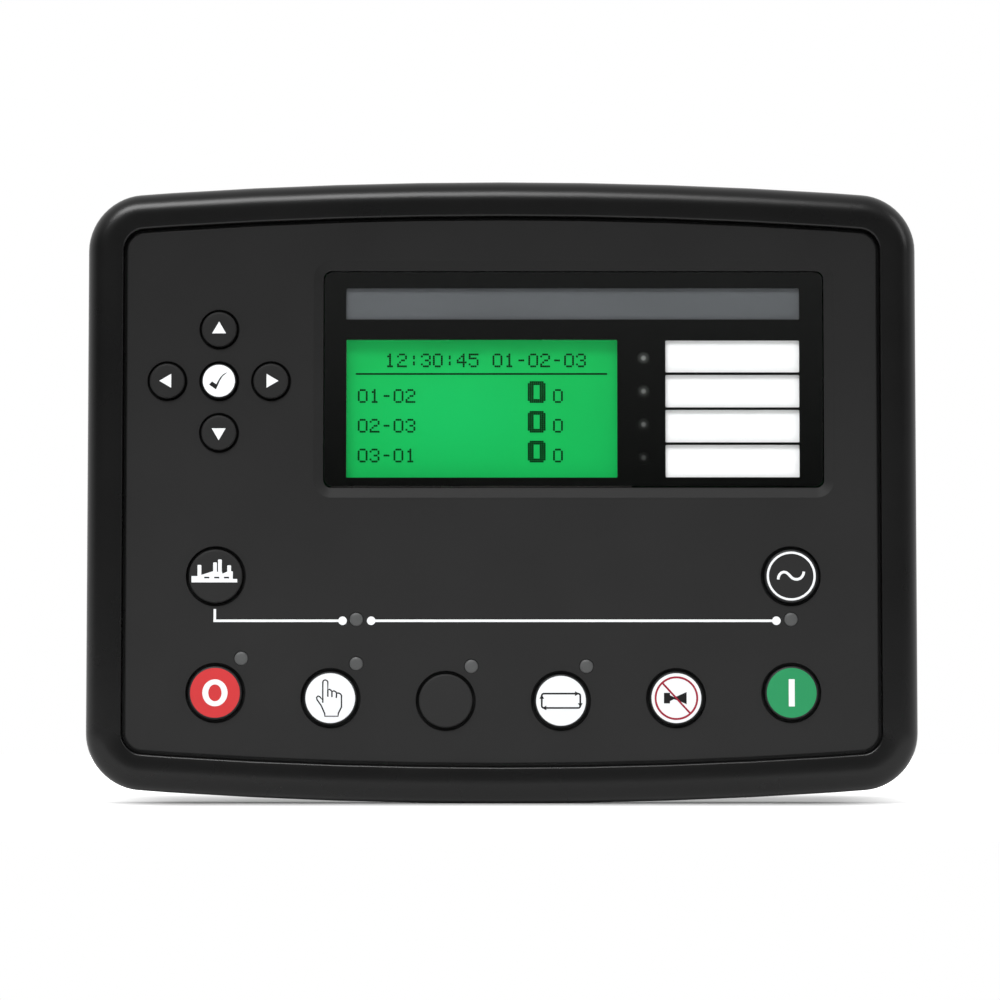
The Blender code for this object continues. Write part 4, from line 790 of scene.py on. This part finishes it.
# %% Loop of arrows
LOOP_WIDE, LOOP_HIGH, LOOP_CORNER = 5.65, 2.10, 0.6
loop = rectangle((0, 0), (2 * LOOP_WIDE / 1000, 2 * LOOP_HIGH / 1000), 0, LOOP_CORNER / 1000, 4)
loop_points = [(vert.co.x * 1000, vert.co.y * 1000) for vert in loop.faces[:][0].verts]
loop.free()
heads = [((4.4, LOOP_HIGH), 0), ((LOOP_WIDE, -1.0), 270), ((-4.6, -LOOP_HIGH), 180), ((-LOOP_WIDE, 0.9), 90)]
HEAD = ((-0.3, -0.7), (0.95, 0.0), (-0.3, 0.7))
films = []
for (x, y), turn in heads:
    swing = Matrix.Rotation(math.radians(turn), 2)
    points = [tuple(swing @ Vector(point) + Vector((x, y))) for point in HEAD]
    films.append(polygon(at_key("auto", points), SYMBOL_FACE))
line = pen_strokes([(at_key("auto", loop_points), True)], 0.00052, SYMBOL_FACE)
print_on("auto", "loop", gather(line, ink(films)), INK_DARK)

# %% Crossed-out horn
HORN = ((-3.65, -1.55), (-3.65, 1.55), (-1.9, 1.55), (-1.85, 0.85), (-0.75, 0.32), (0.3, 0.6),
        (3.0, 1.8), (3.0, -1.8), (0.3, -0.6), (-0.75, -0.32), (-1.85, -0.85), (-1.9, -1.55))
print_outline("mute", "horn", HORN, SYMBOL_FACE, INK_DARK)
slash = pen_strokes([(at_key("mute", [(-4.1, 4.45), (4.05, -4.45)]), False)], 0.00056,
                    SYMBOL_FACE + 0.7 * INK_HEIGHT)
print_on("mute", "ban", gather(ring(KEY_PLACES["mute"], 0.0064, 0.00058, SYMBOL_FACE), slash),
         INK_CRIMSON)

# %% [markdown]
# ## Indicator windows
#
# Six grey light pipes end flush with the fascia. They are turned parts too, with a slightly domed end,
# and they stay grey because none of them is lit.

# %% Light pipes
PIPE_BACK = drawn_box("indicator_stop")[0].z
PIPE_FLANGE_BACK = 0.0073
for name, place in PIPE_PLACES.items():
    profile = [(0.0, FASCIA_FACE), (0.0009, FASCIA_FACE - 0.00003), (0.00155, FASCIA_FACE - 0.00010),
               (PIPE_RADIUS, FASCIA_FACE - 0.00030), (PIPE_RADIUS, 0.0083), (0.00278, 0.0083),
               (0.00278, PIPE_FLANGE_BACK), (PIPE_RADIUS, PIPE_FLANGE_BACK), (PIPE_RADIUS, PIPE_BACK),
               (0.0, PIPE_BACK)]
    finish_piece("light_pipe_" + name, turned(profile, place, 32), PIPE_GREY,
                 stands_for=["indicator_" + name])

# %% [markdown]
# ## Window
#
# One clear sheet covers the display, the alarm lights and the two cards. Its back is printed black
# except for the openings. Both are modelled: the sheet with a chamfered edge that glints, and the
# black mask as a thin plate just behind it.

# %% Lens and mask
LENS_FACE = window_high.z
SHEET = 0.0005
MASK_FACE = LENS_FACE - SHEET - 0.00005
MASK_BACK = drawn_box("label_card")[1].z + 0.00035
LENS_CHAMFER = 0.0001
pane = push_out(rectangle(window_centre, window_size, LENS_FACE - SHEET, WINDOW_CORNER, 8),
                SHEET - LENS_CHAMFER, [(LENS_CHAMFER, LENS_CHAMFER)])
finish_piece("window_lens", pane, LENS_CLEAR, stands_for=["display_window"],
             crease=math.radians(8))

VIEWS = {"display": ((-0.04603, 0.00396), (0.03414, 0.04493)),
         "band": ((-0.04610, 0.05086), (0.08805, 0.06023))}
LABEL_LEFT, LABEL_RIGHT = 0.04835, 0.08800
LABEL_TOP, LABEL_BOTTOM = 0.04467, 0.00403
RIB = 0.0007
FIELD_EDGES = (LABEL_TOP, 0.03478, 0.02440, 0.01403, LABEL_BOTTOM)
for i in range(4):
    top = FIELD_EDGES[i] - (RIB / 2 if i else 0)
    bottom = FIELD_EDGES[i + 1] + (RIB / 2 if i < 3 else 0)
    VIEWS[f"field_{i + 1}"] = ((LABEL_LEFT, bottom), (LABEL_RIGHT, top))
ALARM_PLACES = [drawn_centre(f"alarm_led_{i}") for i in range(1, 5)]
mask = push_out(rectangle(window_centre, (window_size.x - 0.0001, window_size.y - 0.0001), MASK_BACK,
                          WINDOW_CORNER, 8), MASK_FACE - MASK_BACK)
openings = []
for (left, bottom), (right, top) in VIEWS.values():
    middle = ((left + right) / 2, (bottom + top) / 2)
    openings.append(push_out(rectangle(middle, (right - left, top - bottom), MASK_BACK - 0.0005, 0.0003, 2),
                             0.003))
SPOT_RADIUS = 0.0021
openings += [push_out(disc(place, SPOT_RADIUS, MASK_BACK - 0.0005, 32), 0.003) for place in ALARM_PLACES]
mask = carve(mask, gather(*openings))
finish_piece("window_mask", mask, MASK_BLACK)
print("window openings", len(openings), "mask from", MASK_BACK, "to", MASK_FACE)

# %% [markdown]
# ## Cards behind the window
#
# The four white fields are one slide-in card seen between black ribs, and the grey strip on top is a
# second card, left bare. Each keeps the place of its CAD node and gets soft corners.

# %% Cards
def card(node, finish):
    """A slide-in card in the place of its node."""
    low, high = drawn_box(node)
    middle = (low + high) / 2
    size = high - low
    blank = push_out(rectangle(middle, size, low.z, 0.0012, 4), size.z)
    finish_piece(node + "_printed", blank, finish, stands_for=[node])


card("label_card", CARD_WHITE)
card("band_card", CARD_GREY)

# %% [markdown]
# ## Display
#
# The display cell shows dark dots on a lit green ground. A texture would blur them, so each dot of the
# readout is a small square of film. The figures are plain numbers drawn on a grid of five by seven.

# %% Display cell and dot figures
cell_low, cell_high = drawn_box("lcd_glass")
cell_middle = (cell_low + cell_high) / 2
cell = push_out(rectangle(cell_middle, cell_high - cell_low, cell_low.z, 0.0005, 3),
                cell_high.z - cell_low.z - 0.0002, [(0.0002, 0.0002)])
finish_piece("display_cell", cell, LCD_LIT, stands_for=["lcd_glass"])

FIGURES = {
    "0": "01110 10001 10001 10001 10001 10001 01110", "1": "00100 01100 00100 00100 00100 00100 01110",
    "2": "01110 10001 00001 00110 01000 10000 11111", "3": "01110 10001 00001 00110 00001 10001 01110",
    "4": "00010 00110 01010 10010 11111 00010 00010", "5": "11111 10000 11110 00001 00001 10001 01110",
    "-": "00000 00000 00000 01110 00000 00000 00000", ":": "00000 00100 00100 00000 00100 00100 00000"}
BIG_ZERO = ("011111110 111111111 111000111 111000111 111000111 111000111 111000111 111000111 "
            "111000111 111111111 011111110")
DOT = 0.00059
DOT_HEIGHT = 0.00004
VIEW_LEFT, VIEW_TOP = VIEWS["display"][0][0], VIEWS["display"][1][1]


def figure_dots(rows, left, top):
    """Places of the dark dots of one figure, from its upper left corner."""
    return [(left + column * DOT, top - line * DOT)
            for line, row in enumerate(rows.split()) for column, mark in enumerate(row) if mark == "1"]


def line_dots(text, left, top):
    """Places of the dots of a row of figures."""
    dots = []
    for i, letter in enumerate(text):
        if letter != " ":
            dots += figure_dots(FIGURES[letter], left + i * 6 * DOT, top)
    return dots


dots = line_dots("12:30:45 01-02-03", VIEW_LEFT + 0.0117, VIEW_TOP - 0.0041)
for i, text in enumerate(("01-02", "02-03", "03-01")):
    top = VIEW_TOP - 0.0147 - i * 15 * DOT
    dots += line_dots(text, VIEW_LEFT + 0.0036, top)
    dots += figure_dots(BIG_ZERO, VIEW_LEFT + 0.0540, top + 4 * DOT)
    dots += line_dots("0", VIEW_LEFT + 0.0615, top)
film = bmesh.new()
for x, y in dots:
    place = Matrix.Translation((x, y, cell_high.z))
    bmesh.ops.create_grid(film, x_segments=1, y_segments=1, size=0.47 * DOT, matrix=place)
underline = Matrix.Translation((VIEW_LEFT + 0.0400, VIEW_TOP - 0.0099, cell_high.z))
underline = underline @ Matrix.Diagonal((0.0746, 0.00052, 1.0, 1.0))
bmesh.ops.create_grid(film, x_segments=1, y_segments=1, size=0.5, matrix=underline)
lifted(film, DOT_HEIGHT)
print("dots of the readout", len(dots))
finish_piece("display_readout", film, LCD_INK)

# %% [markdown]
# ## Alarm lights
#
# Four unlit lamps stand behind the window beside the card. They are domes of clear plastic, and the
# window is only smoked in front of them, so all that shows is a soft grey spot. Blurring the lamp with
# a rough glass would need many samples; a thin disc whose colour fades outwards stands in for it. Its
# light middle is a painted highlight of the dome, and painted shade makes each lower spot darker.

# %% Alarm lights
LAMP_RADIUS, LAMP_FLANGE, LAMP_FOOT = 0.0015, 0.00185, 0.0009
first_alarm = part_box("alarm_led_1")
first_alarm = (first_alarm[0] + first_alarm[1]) / 2
ALARM_PITCH = (ALARM_PLACES[0].y - ALARM_PLACES[3].y) / 3
# The spots' colours: a painted highlight in the middle, the smoked grey, and the mask's black; lower spots get
# painted shade.
SPOT_PAINTED_GLINT = painted_glint_spots("alarm_spot_painted_glint", first_alarm, ALARM_PITCH, SPOT_RADIUS,
                          (srgb(124, 126, 124), srgb(50, 52, 50), srgb(9, 10, 9)))
spots = [push_out(disc(place, SPOT_RADIUS - 0.00002, MASK_FACE - 0.00012, 32), 0.00010)
         for place in ALARM_PLACES]
finish_piece("alarm_windows", gather(*spots), SPOT_PAINTED_GLINT)
for i, place in enumerate(ALARM_PLACES, 1):
    low, high = drawn_box(f"alarm_led_{i}")
    profile = [(0.0, high.z)]
    profile += [(LAMP_RADIUS * sin, high.z - LAMP_RADIUS * (1 - cos)) for sin, cos in quarter_turn(6)]
    profile += [(LAMP_RADIUS, low.z + LAMP_FOOT), (LAMP_FLANGE, low.z + LAMP_FOOT), (LAMP_FLANGE, low.z),
                (0.0, low.z)]
    finish_piece(f"alarm_lamp_{i}", turned(profile, place, 24), LED_SMOKE,
                 stands_for=[f"alarm_led_{i}"])

# %% [markdown]
# ## Rear housing
#
# Behind the panel sits a moulded box: a flange that presses on the seal, a shelf for the connectors
# and a raised middle with vents. Its outside could be one extrusion with a bevel on every edge, but a
# bevel is hard to steer once the openings are in. So each block gets its rounded edge while it is
# pushed out, the blocks are joined, and the openings are carved last with a small lead-in edge.

# %% Outside of the housing
FLANGE_BACK, FLANGE_FACE = 0.0018, 0.0035
SHELF_BACK = -0.0240
HUMP_BACK = drawn_box("rear_housing")[0].z
BOX_WIDTH, BOX_HEIGHT = 0.2185, 0.1575
HUMP_HEIGHT = 0.0960
BOX_WALL = 0.0020
BOX_DRAFT = 0.0003
SKIRT_GAP = 0.0005


def rounding(radius, segments=4):
    """Steps (inset, rise) that end a rising cap with a rounded edge."""
    arc = quarter_turn(segments, 0)
    return [(radius * (a[1] - b[1]), radius * (b[0] - a[0])) for a, b in zip(arc, arc[1:])]


def rearward(face, start, end, edge=(), draft=0.0):
    """Push a flat face back to a depth, with a draft and an edge made of (inset, rise) steps."""
    first = 0.0004
    left = start - end - first - sum(rise for inset, rise in edge)
    return push_out(face, -first, [(draft, left)] + list(edge))


flange = push_out(bowed_outline(SKIRT_WALL + SKIRT_GAP, FLANGE_BACK), FLANGE_FACE - FLANGE_BACK)
start = FLANGE_BACK + 0.0004
box = rearward(rectangle((0, 0), (BOX_WIDTH, BOX_HEIGHT), start, 0.003), start, SHELF_BACK,
               rounding(0.0014), BOX_DRAFT)
start = SHELF_BACK + BOX_WALL
hump = rearward(rectangle((0, 0), (BOX_WIDTH - 2 * BOX_DRAFT, HUMP_HEIGHT), start, 0.003), start, HUMP_BACK,
                rounding(0.0016))
housing = carve(carve(flange, box, "UNION"), hump, "UNION")
print("housing outside faces", len(housing.faces))

# %% Inside, pillars and openings of the housing
PILLAR_RADIUS, WELL_RADIUS = 0.0046, 0.0032
WELL_FLOOR, PILLAR_END = -0.0037, -0.0015
SCREW_PLACES = [drawn_centre(f"case_screw_{i}") for i in range(1, 5)]
SOCKETS = ("ethernet_socket", "usb_socket", "serial_socket")
PLUGS = sorted(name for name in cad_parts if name.startswith("plug_"))
HEADER_HEIGHT = 0.0086
SEAT = 0.0003
VENTS, VENT_PITCH = 12, 0.011
RECESS, RECESS_DEPTH = (0.176, 0.066), 0.0004

floor = SHELF_BACK + BOX_WALL
inside = (BOX_WIDTH - 2 * BOX_WALL, BOX_HEIGHT - 2 * BOX_WALL)
cavity = push_out(rectangle((0, 0), inside, floor, 0.002, 3), FLANGE_FACE + 0.001 - floor)
hump_inside = (inside[0], HUMP_HEIGHT - 2 * BOX_WALL)
room = push_out(rectangle((0, 0), hump_inside, HUMP_BACK + BOX_WALL, 0.002, 3),
                floor + 0.002 - HUMP_BACK - BOX_WALL)
housing = carve(housing, carve(cavity, room, "UNION"))
pillars = [push_out(disc(place, PILLAR_RADIUS, floor - 0.0004, 32), PILLAR_END - floor + 0.0004)
           for place in SCREW_PLACES]
housing = carve(housing, gather(*pillars), "UNION")
cuts = [push_out(disc(place, WELL_RADIUS, SHELF_BACK - 0.001, 32), WELL_FLOOR - SHELF_BACK + 0.001)
        for place in SCREW_PLACES]
for name in SOCKETS + tuple(PLUGS):
    low, high = drawn_box(name)
    tall = high.y - low.y if name in SOCKETS else HEADER_HEIGHT
    cuts.append(push_out(rectangle(drawn_centre(name), (high.x - low.x + 2 * SEAT, tall + 2 * SEAT),
                                   SHELF_BACK - 0.001, 0.0006, 3), BOX_WALL + 0.002))
for side in (-1, 1):
    for i in range(VENTS):
        wall = ((i - (VENTS - 1) / 2) * VENT_PITCH, side * (HUMP_HEIGHT - BOX_WALL) / 2)
        cuts.append(push_out(rectangle(wall, (0.0022, 0.004), -0.03375), 0.0070))
    for across in (-1, 1):
        for half in (-1, 1):
            wall = (across * 0.07025 + half * 0.005, side * (BOX_HEIGHT - BOX_WALL) / 2)
            cuts.append(push_out(rectangle(wall, (0.003, 0.004), -0.016), 0.008))
cuts.append(push_out(rectangle((0, 0), RECESS, HUMP_BACK - 0.001, 0.003, 6), 0.001 + RECESS_DEPTH))
housing = carve(housing, gather(*cuts))
bores = [push_out(disc(place, 0.0016, WELL_FLOOR - 0.001, 20), 0.004) for place in SCREW_PLACES]
housing = carve(housing, gather(*bores))


def on_face(edge):
    """True for the edges of openings that lie in the shelf or in the back of the raised middle."""
    return any(all(abs(vert.co.z - level) < 1e-5 for vert in edge.verts) for level in (SHELF_BACK, HUMP_BACK))


soften(housing, 0.0002, 1, keep=on_face)
print("housing faces", len(housing.faces))
finish_piece("housing_moulding", housing, HOUSING_BLACK, stands_for=["rear_housing"])

# %% [markdown]
# ## Screw terminals
#
# The eight green plugs carry one wire a way: a square funnel for the wire, a clamp screw beside it and a
# fine groove between neighbours. The screws are all alike, so one is turned, slotted and then copied to
# every way with its slot at another angle, as a fitter leaves them.

# %% Plugs
WAY_PITCH = 0.00508
PLUG_FACE = -0.0264
ENTRY_OFFSET, CLAMP_OFFSET = 0.0018, 0.0031
FUNNEL, ENTRY, CLAMP_RECESS = 0.0035, 0.0026, 0.0016
WAYS = []
for name in PLUGS:
    low, high = drawn_box(name)
    centre = drawn_centre(name)
    ways = round((high.x - low.x - 0.0022) / WAY_PITCH)
    side = 1 if centre.y > 0 else -1
    shape = rearward(rectangle(centre, (high.x - low.x, high.y - low.y), PLUG_FACE, 0.0008, 3), PLUG_FACE, low.z,
                     [(0.0002, 0.0004), (0.0004, 0.0002)])
    nose = push_out(rectangle(centre, (ways * WAY_PITCH, 0.0064), PLUG_FACE - 0.0004),
                    high.z - PLUG_FACE + 0.0004)
    shape = carve(shape, nose, "UNION")
    cuts = []
    for i in range(ways):
        x = centre.x + (i - (ways - 1) / 2) * WAY_PITCH
        entry = (x, centre.y - side * ENTRY_OFFSET)
        clamp = (x, centre.y + side * CLAMP_OFFSET)
        WAYS.append((entry, clamp, low.z))
        cuts.append(push_out(rectangle(entry, (FUNNEL, FUNNEL), low.z - 0.0005), 0.0005,
                             [((FUNNEL - ENTRY) / 2, 0.0009), (0.0, 0.0041)]))
        cuts.append(push_out(disc(clamp, CLAMP_RECESS, low.z - 0.0005, 20), 0.0023))
        if i:
            cuts.append(push_out(rectangle((x - WAY_PITCH / 2, centre.y), (0.00035, high.y - low.y + 0.001),
                                           low.z - 0.0005), 0.0009))
    shape = carve(shape, gather(*cuts))
    finish_piece(name.replace("plug_", "terminal_"), shape, PLUG_GREEN, stands_for=[name])
print("plugs", len(PLUGS), "ways", len(WAYS))

# %% Clamp screws and cages
head = turned([(0.0, 0.0012), (0.0014, 0.0012), (0.0014, 0.0002), (0.0012, 0.0), (0.0, 0.0)], (0, 0), 20)
head = carve(head, push_out(rectangle((0, 0), (0.0034, 0.00045), -0.0005), 0.0010))
clamps = []
for i, (entry, clamp, level) in enumerate(WAYS):
    screw = head.copy()
    bmesh.ops.rotate(screw, verts=screw.verts, matrix=Matrix.Rotation(math.radians(20 + 67 * i), 3, "Z"))
    bmesh.ops.translate(screw, verts=screw.verts, vec=(clamp[0], clamp[1], level + 0.0005))
    clamps += [screw, push_out(rectangle(entry, (0.0024, 0.0024), level + 0.0041), 0.0003)]
head.free()
finish_piece("terminal_clamps", gather(*clamps), STEEL)

# %% [markdown]
# ## Data sockets
#
# The three metal sockets are folded from thin plate round a plastic insert. They are blocks with a
# rounded edge and a carved mouth, and each insert with its gilded contacts is a piece of its own, so
# that metal, plastic and gold keep their own finish.

# %% Ethernet and USB sockets
SOCKET_FOOT = drawn_box("usb_socket")[1].z


def fold(name, corner, edge):
    """A socket's shell in the place of its node."""
    low, high = drawn_box(name)
    face = rectangle(drawn_centre(name), (high.x - low.x, high.y - low.y), SOCKET_FOOT, corner, 3)
    return rearward(face, SOCKET_FOOT, low.z, rounding(edge, 3)), low.z


def contacts(place, count, pitch, size, back, length):
    """A row of flat contacts that run into a mouth."""
    return [push_out(rectangle((place[0] + (i - (count - 1) / 2) * pitch, place[1]), size, back), length)
            for i in range(count)]


shell, back = fold("ethernet_socket", 0.0005, 0.0004)
x, y = drawn_centre("ethernet_socket")
mouth = push_out(rectangle((x, y + 0.0014), (0.0118, 0.0068), back - 0.001), 0.0125)
latch = push_out(rectangle((x, y - 0.0034), (0.0062, 0.0029), back - 0.001), 0.0125)
notch = push_out(rectangle((x, y - 0.0052), (0.0034, 0.0014), back - 0.001), 0.0045)
shell = carve(shell, carve(carve(mouth, latch, "UNION"), notch, "UNION"))
finish_piece("ethernet_shell", shell, STEEL, stands_for=["ethernet_socket"])
row = contacts((x, y + 0.0040), 8, 0.00102, (0.00045, 0.0006), back + 0.0018, 0.0090)
finish_piece("ethernet_contacts", gather(*row), CONTACT_GOLD)
shell, back = fold("usb_socket", 0.0006, 0.0004)
x, y = drawn_centre("usb_socket")
mouth = rectangle((x, y), (0.0084, 0.0078), back - 0.001)
upper = [vert for vert in mouth.verts if vert.co.y > y]
bmesh.ops.bevel(mouth, geom=upper, offset=0.0017, offset_type="OFFSET", segments=1, profile=0.5,
                affect="VERTICES", material=-1)
finish_piece("usb_shell", carve(shell, push_out(mouth, 0.0098)), STEEL, stands_for=["usb_socket"])
tongue = rearward(rectangle((x, y), (0.0056, 0.0032), back + 0.0088, 0.0003, 2), back + 0.0088, back + 0.0010,
                  rounding(0.0003, 2))
finish_piece("usb_tongue", tongue, CONNECTOR_WHITE)
rows = [contacts((x, y + side * 0.00168), 2, 0.0025, (0.0010, 0.00012), back + 0.0014, 0.0070)
        for side in (-1, 1)]
finish_piece("usb_contacts", gather(*rows[0], *rows[1]), CONTACT_GOLD)

# %% Serial socket
x, y = drawn_centre("serial_socket") * 1000
serial_back = drawn_box("serial_socket")[0].z
FLANGE_TOP, FLANGE_END = -0.0254, -0.0264


def shroud_outline(grow, height):
    """The D-shaped outline of the shroud, wider at its top, with rounded corners."""
    half, top = 4.15 + grow, 8.45 + grow
    shape = polygon(((x - top + 1, y - half), (x + top - 1, y - half), (x + top, y + half),
                     (x - top, y + half)), height)
    bmesh.ops.bevel(shape, geom=shape.verts[:], offset=0.0018 + grow / 1000, offset_type="OFFSET", segments=5,
                    profile=0.5, affect="VERTICES", material=-1)
    return shape


flange = rearward(rectangle((x / 1000, y / 1000), (0.0308, 0.0125), FLANGE_TOP, 0.0012, 4), FLANGE_TOP,
                  FLANGE_END, rounding(0.0002, 2))
block = push_out(rectangle((x / 1000, y / 1000), (0.0256, 0.0099), FLANGE_TOP - 0.0003),
                 SOCKET_FOOT - FLANGE_TOP + 0.0003)


def shroud_block(grow, start, end, edge=()):
    """The shroud's outline pushed back from one depth to another."""
    return rearward(shroud_outline(grow, start), start, end, edge)


socket = carve(flange, block, "UNION")
socket = carve(socket, shroud_block(0.0, FLANGE_END + 0.0003, serial_back, rounding(0.0002, 2)), "UNION")
socket = carve(socket, shroud_block(-0.5, FLANGE_END - 0.00005, serial_back - 0.001))
finish_piece("serial_shell", socket, STEEL, stands_for=["serial_socket"])
insert = shroud_block(-0.53, FLANGE_END - 0.00006, FLANGE_END - 0.0010)
finish_piece("serial_insert", insert, SOCKET_BLACK)
PIN_PROFILE = ((0.0, 0.0009), (0.0005, 0.0009), (0.0005, 0.0044), (0.0003, 0.0047), (0.0, 0.0048))
pins = []
for row, count in ((1.42, 5), (-1.42, 4)):
    for i in range(count):
        place = ((x + (i - (count - 1) / 2) * 2.77) / 1000, (y + row) / 1000)
        profile = [(radius, FLANGE_END - depth) for radius, depth in PIN_PROFILE]
        pins.append(turned(profile, place, 12))
finish_piece("serial_pins", gather(*pins), CONTACT_GOLD)
nuts = []
for side in (-1, 1):
    place = ((x + side * 12.5) / 1000, y / 1000)
    foot = FLANGE_END - 0.00002
    nut = rearward(disc(place, 0.0026, foot, 6), foot, FLANGE_END - 0.0050, rounding(0.0003, 2))
    nuts.append(carve(nut, push_out(disc(place, 0.0014, FLANGE_END - 0.0060, 20), 0.0040)))
finish_piece("serial_nuts", gather(*nuts), STEEL)
print("pins", len(pins))

# %% [markdown]
# ## Finishes of the CAD pieces that stay
#
# Pieces whose CAD shape is already right keep it and get a finish of their own.

# %% Finishes by node
NODE_FINISHES = {
    "panel_gasket": GASKET_GREY, "keymat": GASKET_GREY, "display_board": BOARD_GREEN,
    "main_board": BOARD_GREEN, "board_connector": SOCKET_BLACK, "lcd_frame": STEEL,
    "lcd_backlight": CARD_WHITE}
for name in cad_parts:
    finish = NODE_FINISHES.get(name)
    if name.startswith("relay_"):
        finish = RELAY_BLUE
    elif name.startswith("capacitor_"):
        finish = SLEEVE_BLACK
    elif name.startswith("case_screw_"):
        finish = STEEL
    if finish:
        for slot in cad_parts[name].material_slots:
            slot.material = finish

# %% [markdown]
# ## Studio
#
# The controller stands on its lower rim on a white floor, as in a catalogue photo. The background is
# white only for the camera and for reflections from behind, so the light on the object stays plain.
# Round its foot a patch of the floor doesn't glow, so the lamps' soft shadow shows there, and for the
# camera the patch is painted darker too: a painted shadow that widens away from the foot.
# One large soft lamp above draws the highlight along the top of the rim.

# %% Floor
FLOOR_HEIGHT = cad_low.z
FLOOR_FRONT = 0.5
floor = bmesh.new()
bmesh.ops.create_grid(floor, x_segments=1, y_segments=1, size=6.0,
                      matrix=Matrix.Translation((0, 6.0 - FLOOR_FRONT, FLOOR_HEIGHT)))
mesh = bpy.data.meshes.new("studio_floor")
floor.to_mesh(mesh)
floor.free()
studio_floor = bpy.data.objects.new("studio_floor", mesh)
scene.collection.objects.link(studio_floor)

# The patch round the foot and its painted shadow: how it widens, where its sides, front and back fade out, and
# the darker tone painted into it for the camera.
PATCH_SPREAD = 0.83
PATCH_SIDES = (0.092, 0.148)
PATCH_FRONT = (-0.03, -0.12)
PATCH_BACK = (0.08, 0.48)
FLOOR_TONE = 0.86
PAINTED_SHADOW_TONE = 0.62
PATCH_DIMMING = 0.99


def seen_straight(tree):
    """1 for a ray from the camera, also one that has passed through glass, and 0 for the others."""
    rays = add(tree, "LightPath", {})
    return number(tree, "MAXIMUM", rays.outputs["Is Camera Ray"], rays.outputs["Is Transmission Ray"])


paper, tree, shader = new_material("floor_paper")
split = add(tree, "SeparateXYZ", {"Vector": add(tree, "TexCoord", {}).outputs["Object"]})
deep = split.outputs["Y"]
aside = number(tree, "DIVIDE", number(tree, "ABSOLUTE", split.outputs["X"]),
               number(tree, "MULTIPLY_ADD", deep, PATCH_SPREAD, 1.0))
patch = 1.0
for value, (full, none) in ((aside, PATCH_SIDES), (deep, PATCH_FRONT), (deep, PATCH_BACK)):
    patch = number(tree, "MULTIPLY", ranged(tree, value, full, none, 1.0, 0.0, "SMOOTHSTEP"), patch)
straight = seen_straight(tree)
shaded = number(tree, "MULTIPLY", patch, straight)
# Inside the patch the floor stops glowing for the camera and its colour is painted darker: a painted shadow.
connect(tree, shader, {
    "Roughness": 0.9, "Emission Color": (1.0, 1.0, 1.0, 1.0),
    "Emission Strength": number(tree, "MULTIPLY_ADD", shaded, -PATCH_DIMMING, straight),
    "Base Color": number(tree, "MULTIPLY_ADD", shaded, PAINTED_SHADOW_TONE - FLOOR_TONE, FLOOR_TONE)})
under = add(tree, "NewGeometry", {}).outputs["Backfacing"]
nothing = add(tree, "BsdfTransparent", {}).outputs["BSDF"]
one_sided = add(tree, "MixShader", {"Fac": under, 1: shader.outputs["BSDF"], 2: nothing})
connect(tree, tree.nodes["Material Output"], {"Surface": one_sided.outputs["Shader"]})
studio_floor.data.materials.append(paper)

# %% World
ROOM = ((-0.12, 0.08), (-0.03, 0.18), (0.02, 0.13), (0.055, 0.005), (0.125, 0.18), (0.14, 0.03), (0.20, 0.06),
        (0.40, 0.15), (0.60, 0.48))
ROOM_BEHIND = 0.95
world = bpy.data.worlds.new("studio_world")
scene.world = world
world.use_nodes = True
tree = world.node_tree
split = add(tree, "SeparateXYZ", {"Vector": add(tree, "TexCoord", {}).outputs["Generated"]})
behind = ranged(tree, split.outputs["Y"], -0.5, 0.25)
raised = number(tree, "MULTIPLY_ADD", split.outputs["Z"], 0.5, 0.5)
ahead = ramp(tree, raised, [(0.5 + height / 2, (level, level, level, 1.0)) for height, level in ROOM])
room = add(tree, "Mix", {"Factor": behind, "A": ahead, "B": ROOM_BEHIND}, data_type="FLOAT")
shown = add(tree, "Mix", {"Factor": seen_straight(tree), "A": room.outputs["Result"], "B": 1.0},
            data_type="FLOAT")
connect(tree, tree.nodes["Background"], {"Strength": shown.outputs["Result"], "Color": (1.0, 1.0, 1.0, 1.0)})


# %% Lamps
def soft_lamp(name, place, target, size, power):
    """A rectangular soft lamp that looks at a point."""
    light = bpy.data.lights.new(name, "AREA")
    light.shape = "RECTANGLE"
    light.size, light.size_y = size
    light.energy = power
    lamp = bpy.data.objects.new(name, light)
    lamp.location = place
    direction = Vector(target) - Vector(place)
    lamp.rotation_euler = direction.to_track_quat("-Z", "Y").to_euler()
    lamp.visible_camera = False
    scene.collection.objects.link(lamp)
    return lamp


soft_lamp("top_softbox", (-0.6, -1.75, 1.75), (0.0, 0.0, 0.0), (1.6, 0.8), 42)
soft_lamp("side_softbox", (1.5, -0.9, 0.9), (0.0, 0.0, 0.0), (0.5, 0.9), 4)
front_fill = soft_lamp("front_fill", (0.0, -2.2, 0.4), (0.0, 0.0, 0.0), (2.4, 1.8), 20)
front_fill.visible_glossy = False

# %% [markdown]
# ## Camera
#
# The photograph was taken straight on with a long lens, a little below the middle, so the camera
# stands 1.2 m away and looks up by under four degrees.

# %% Camera
DISTANCE = 1.2
RISE = math.radians(3.65)
camera_data = bpy.data.cameras.new("photo_camera")
camera_data.lens = 144.97
camera_data.sensor_width = 36
camera_data.shift_x = -0.0018
camera_data.shift_y = -0.0066
camera_data.clip_start = 0.01
camera = bpy.data.objects.new("photo_camera", camera_data)
camera.location = (0.0, -DISTANCE * math.cos(RISE), -DISTANCE * math.sin(RISE))
camera.rotation_euler = (math.pi / 2 + RISE, 0.0, 0.0)
scene.collection.objects.link(camera)
scene.camera = camera
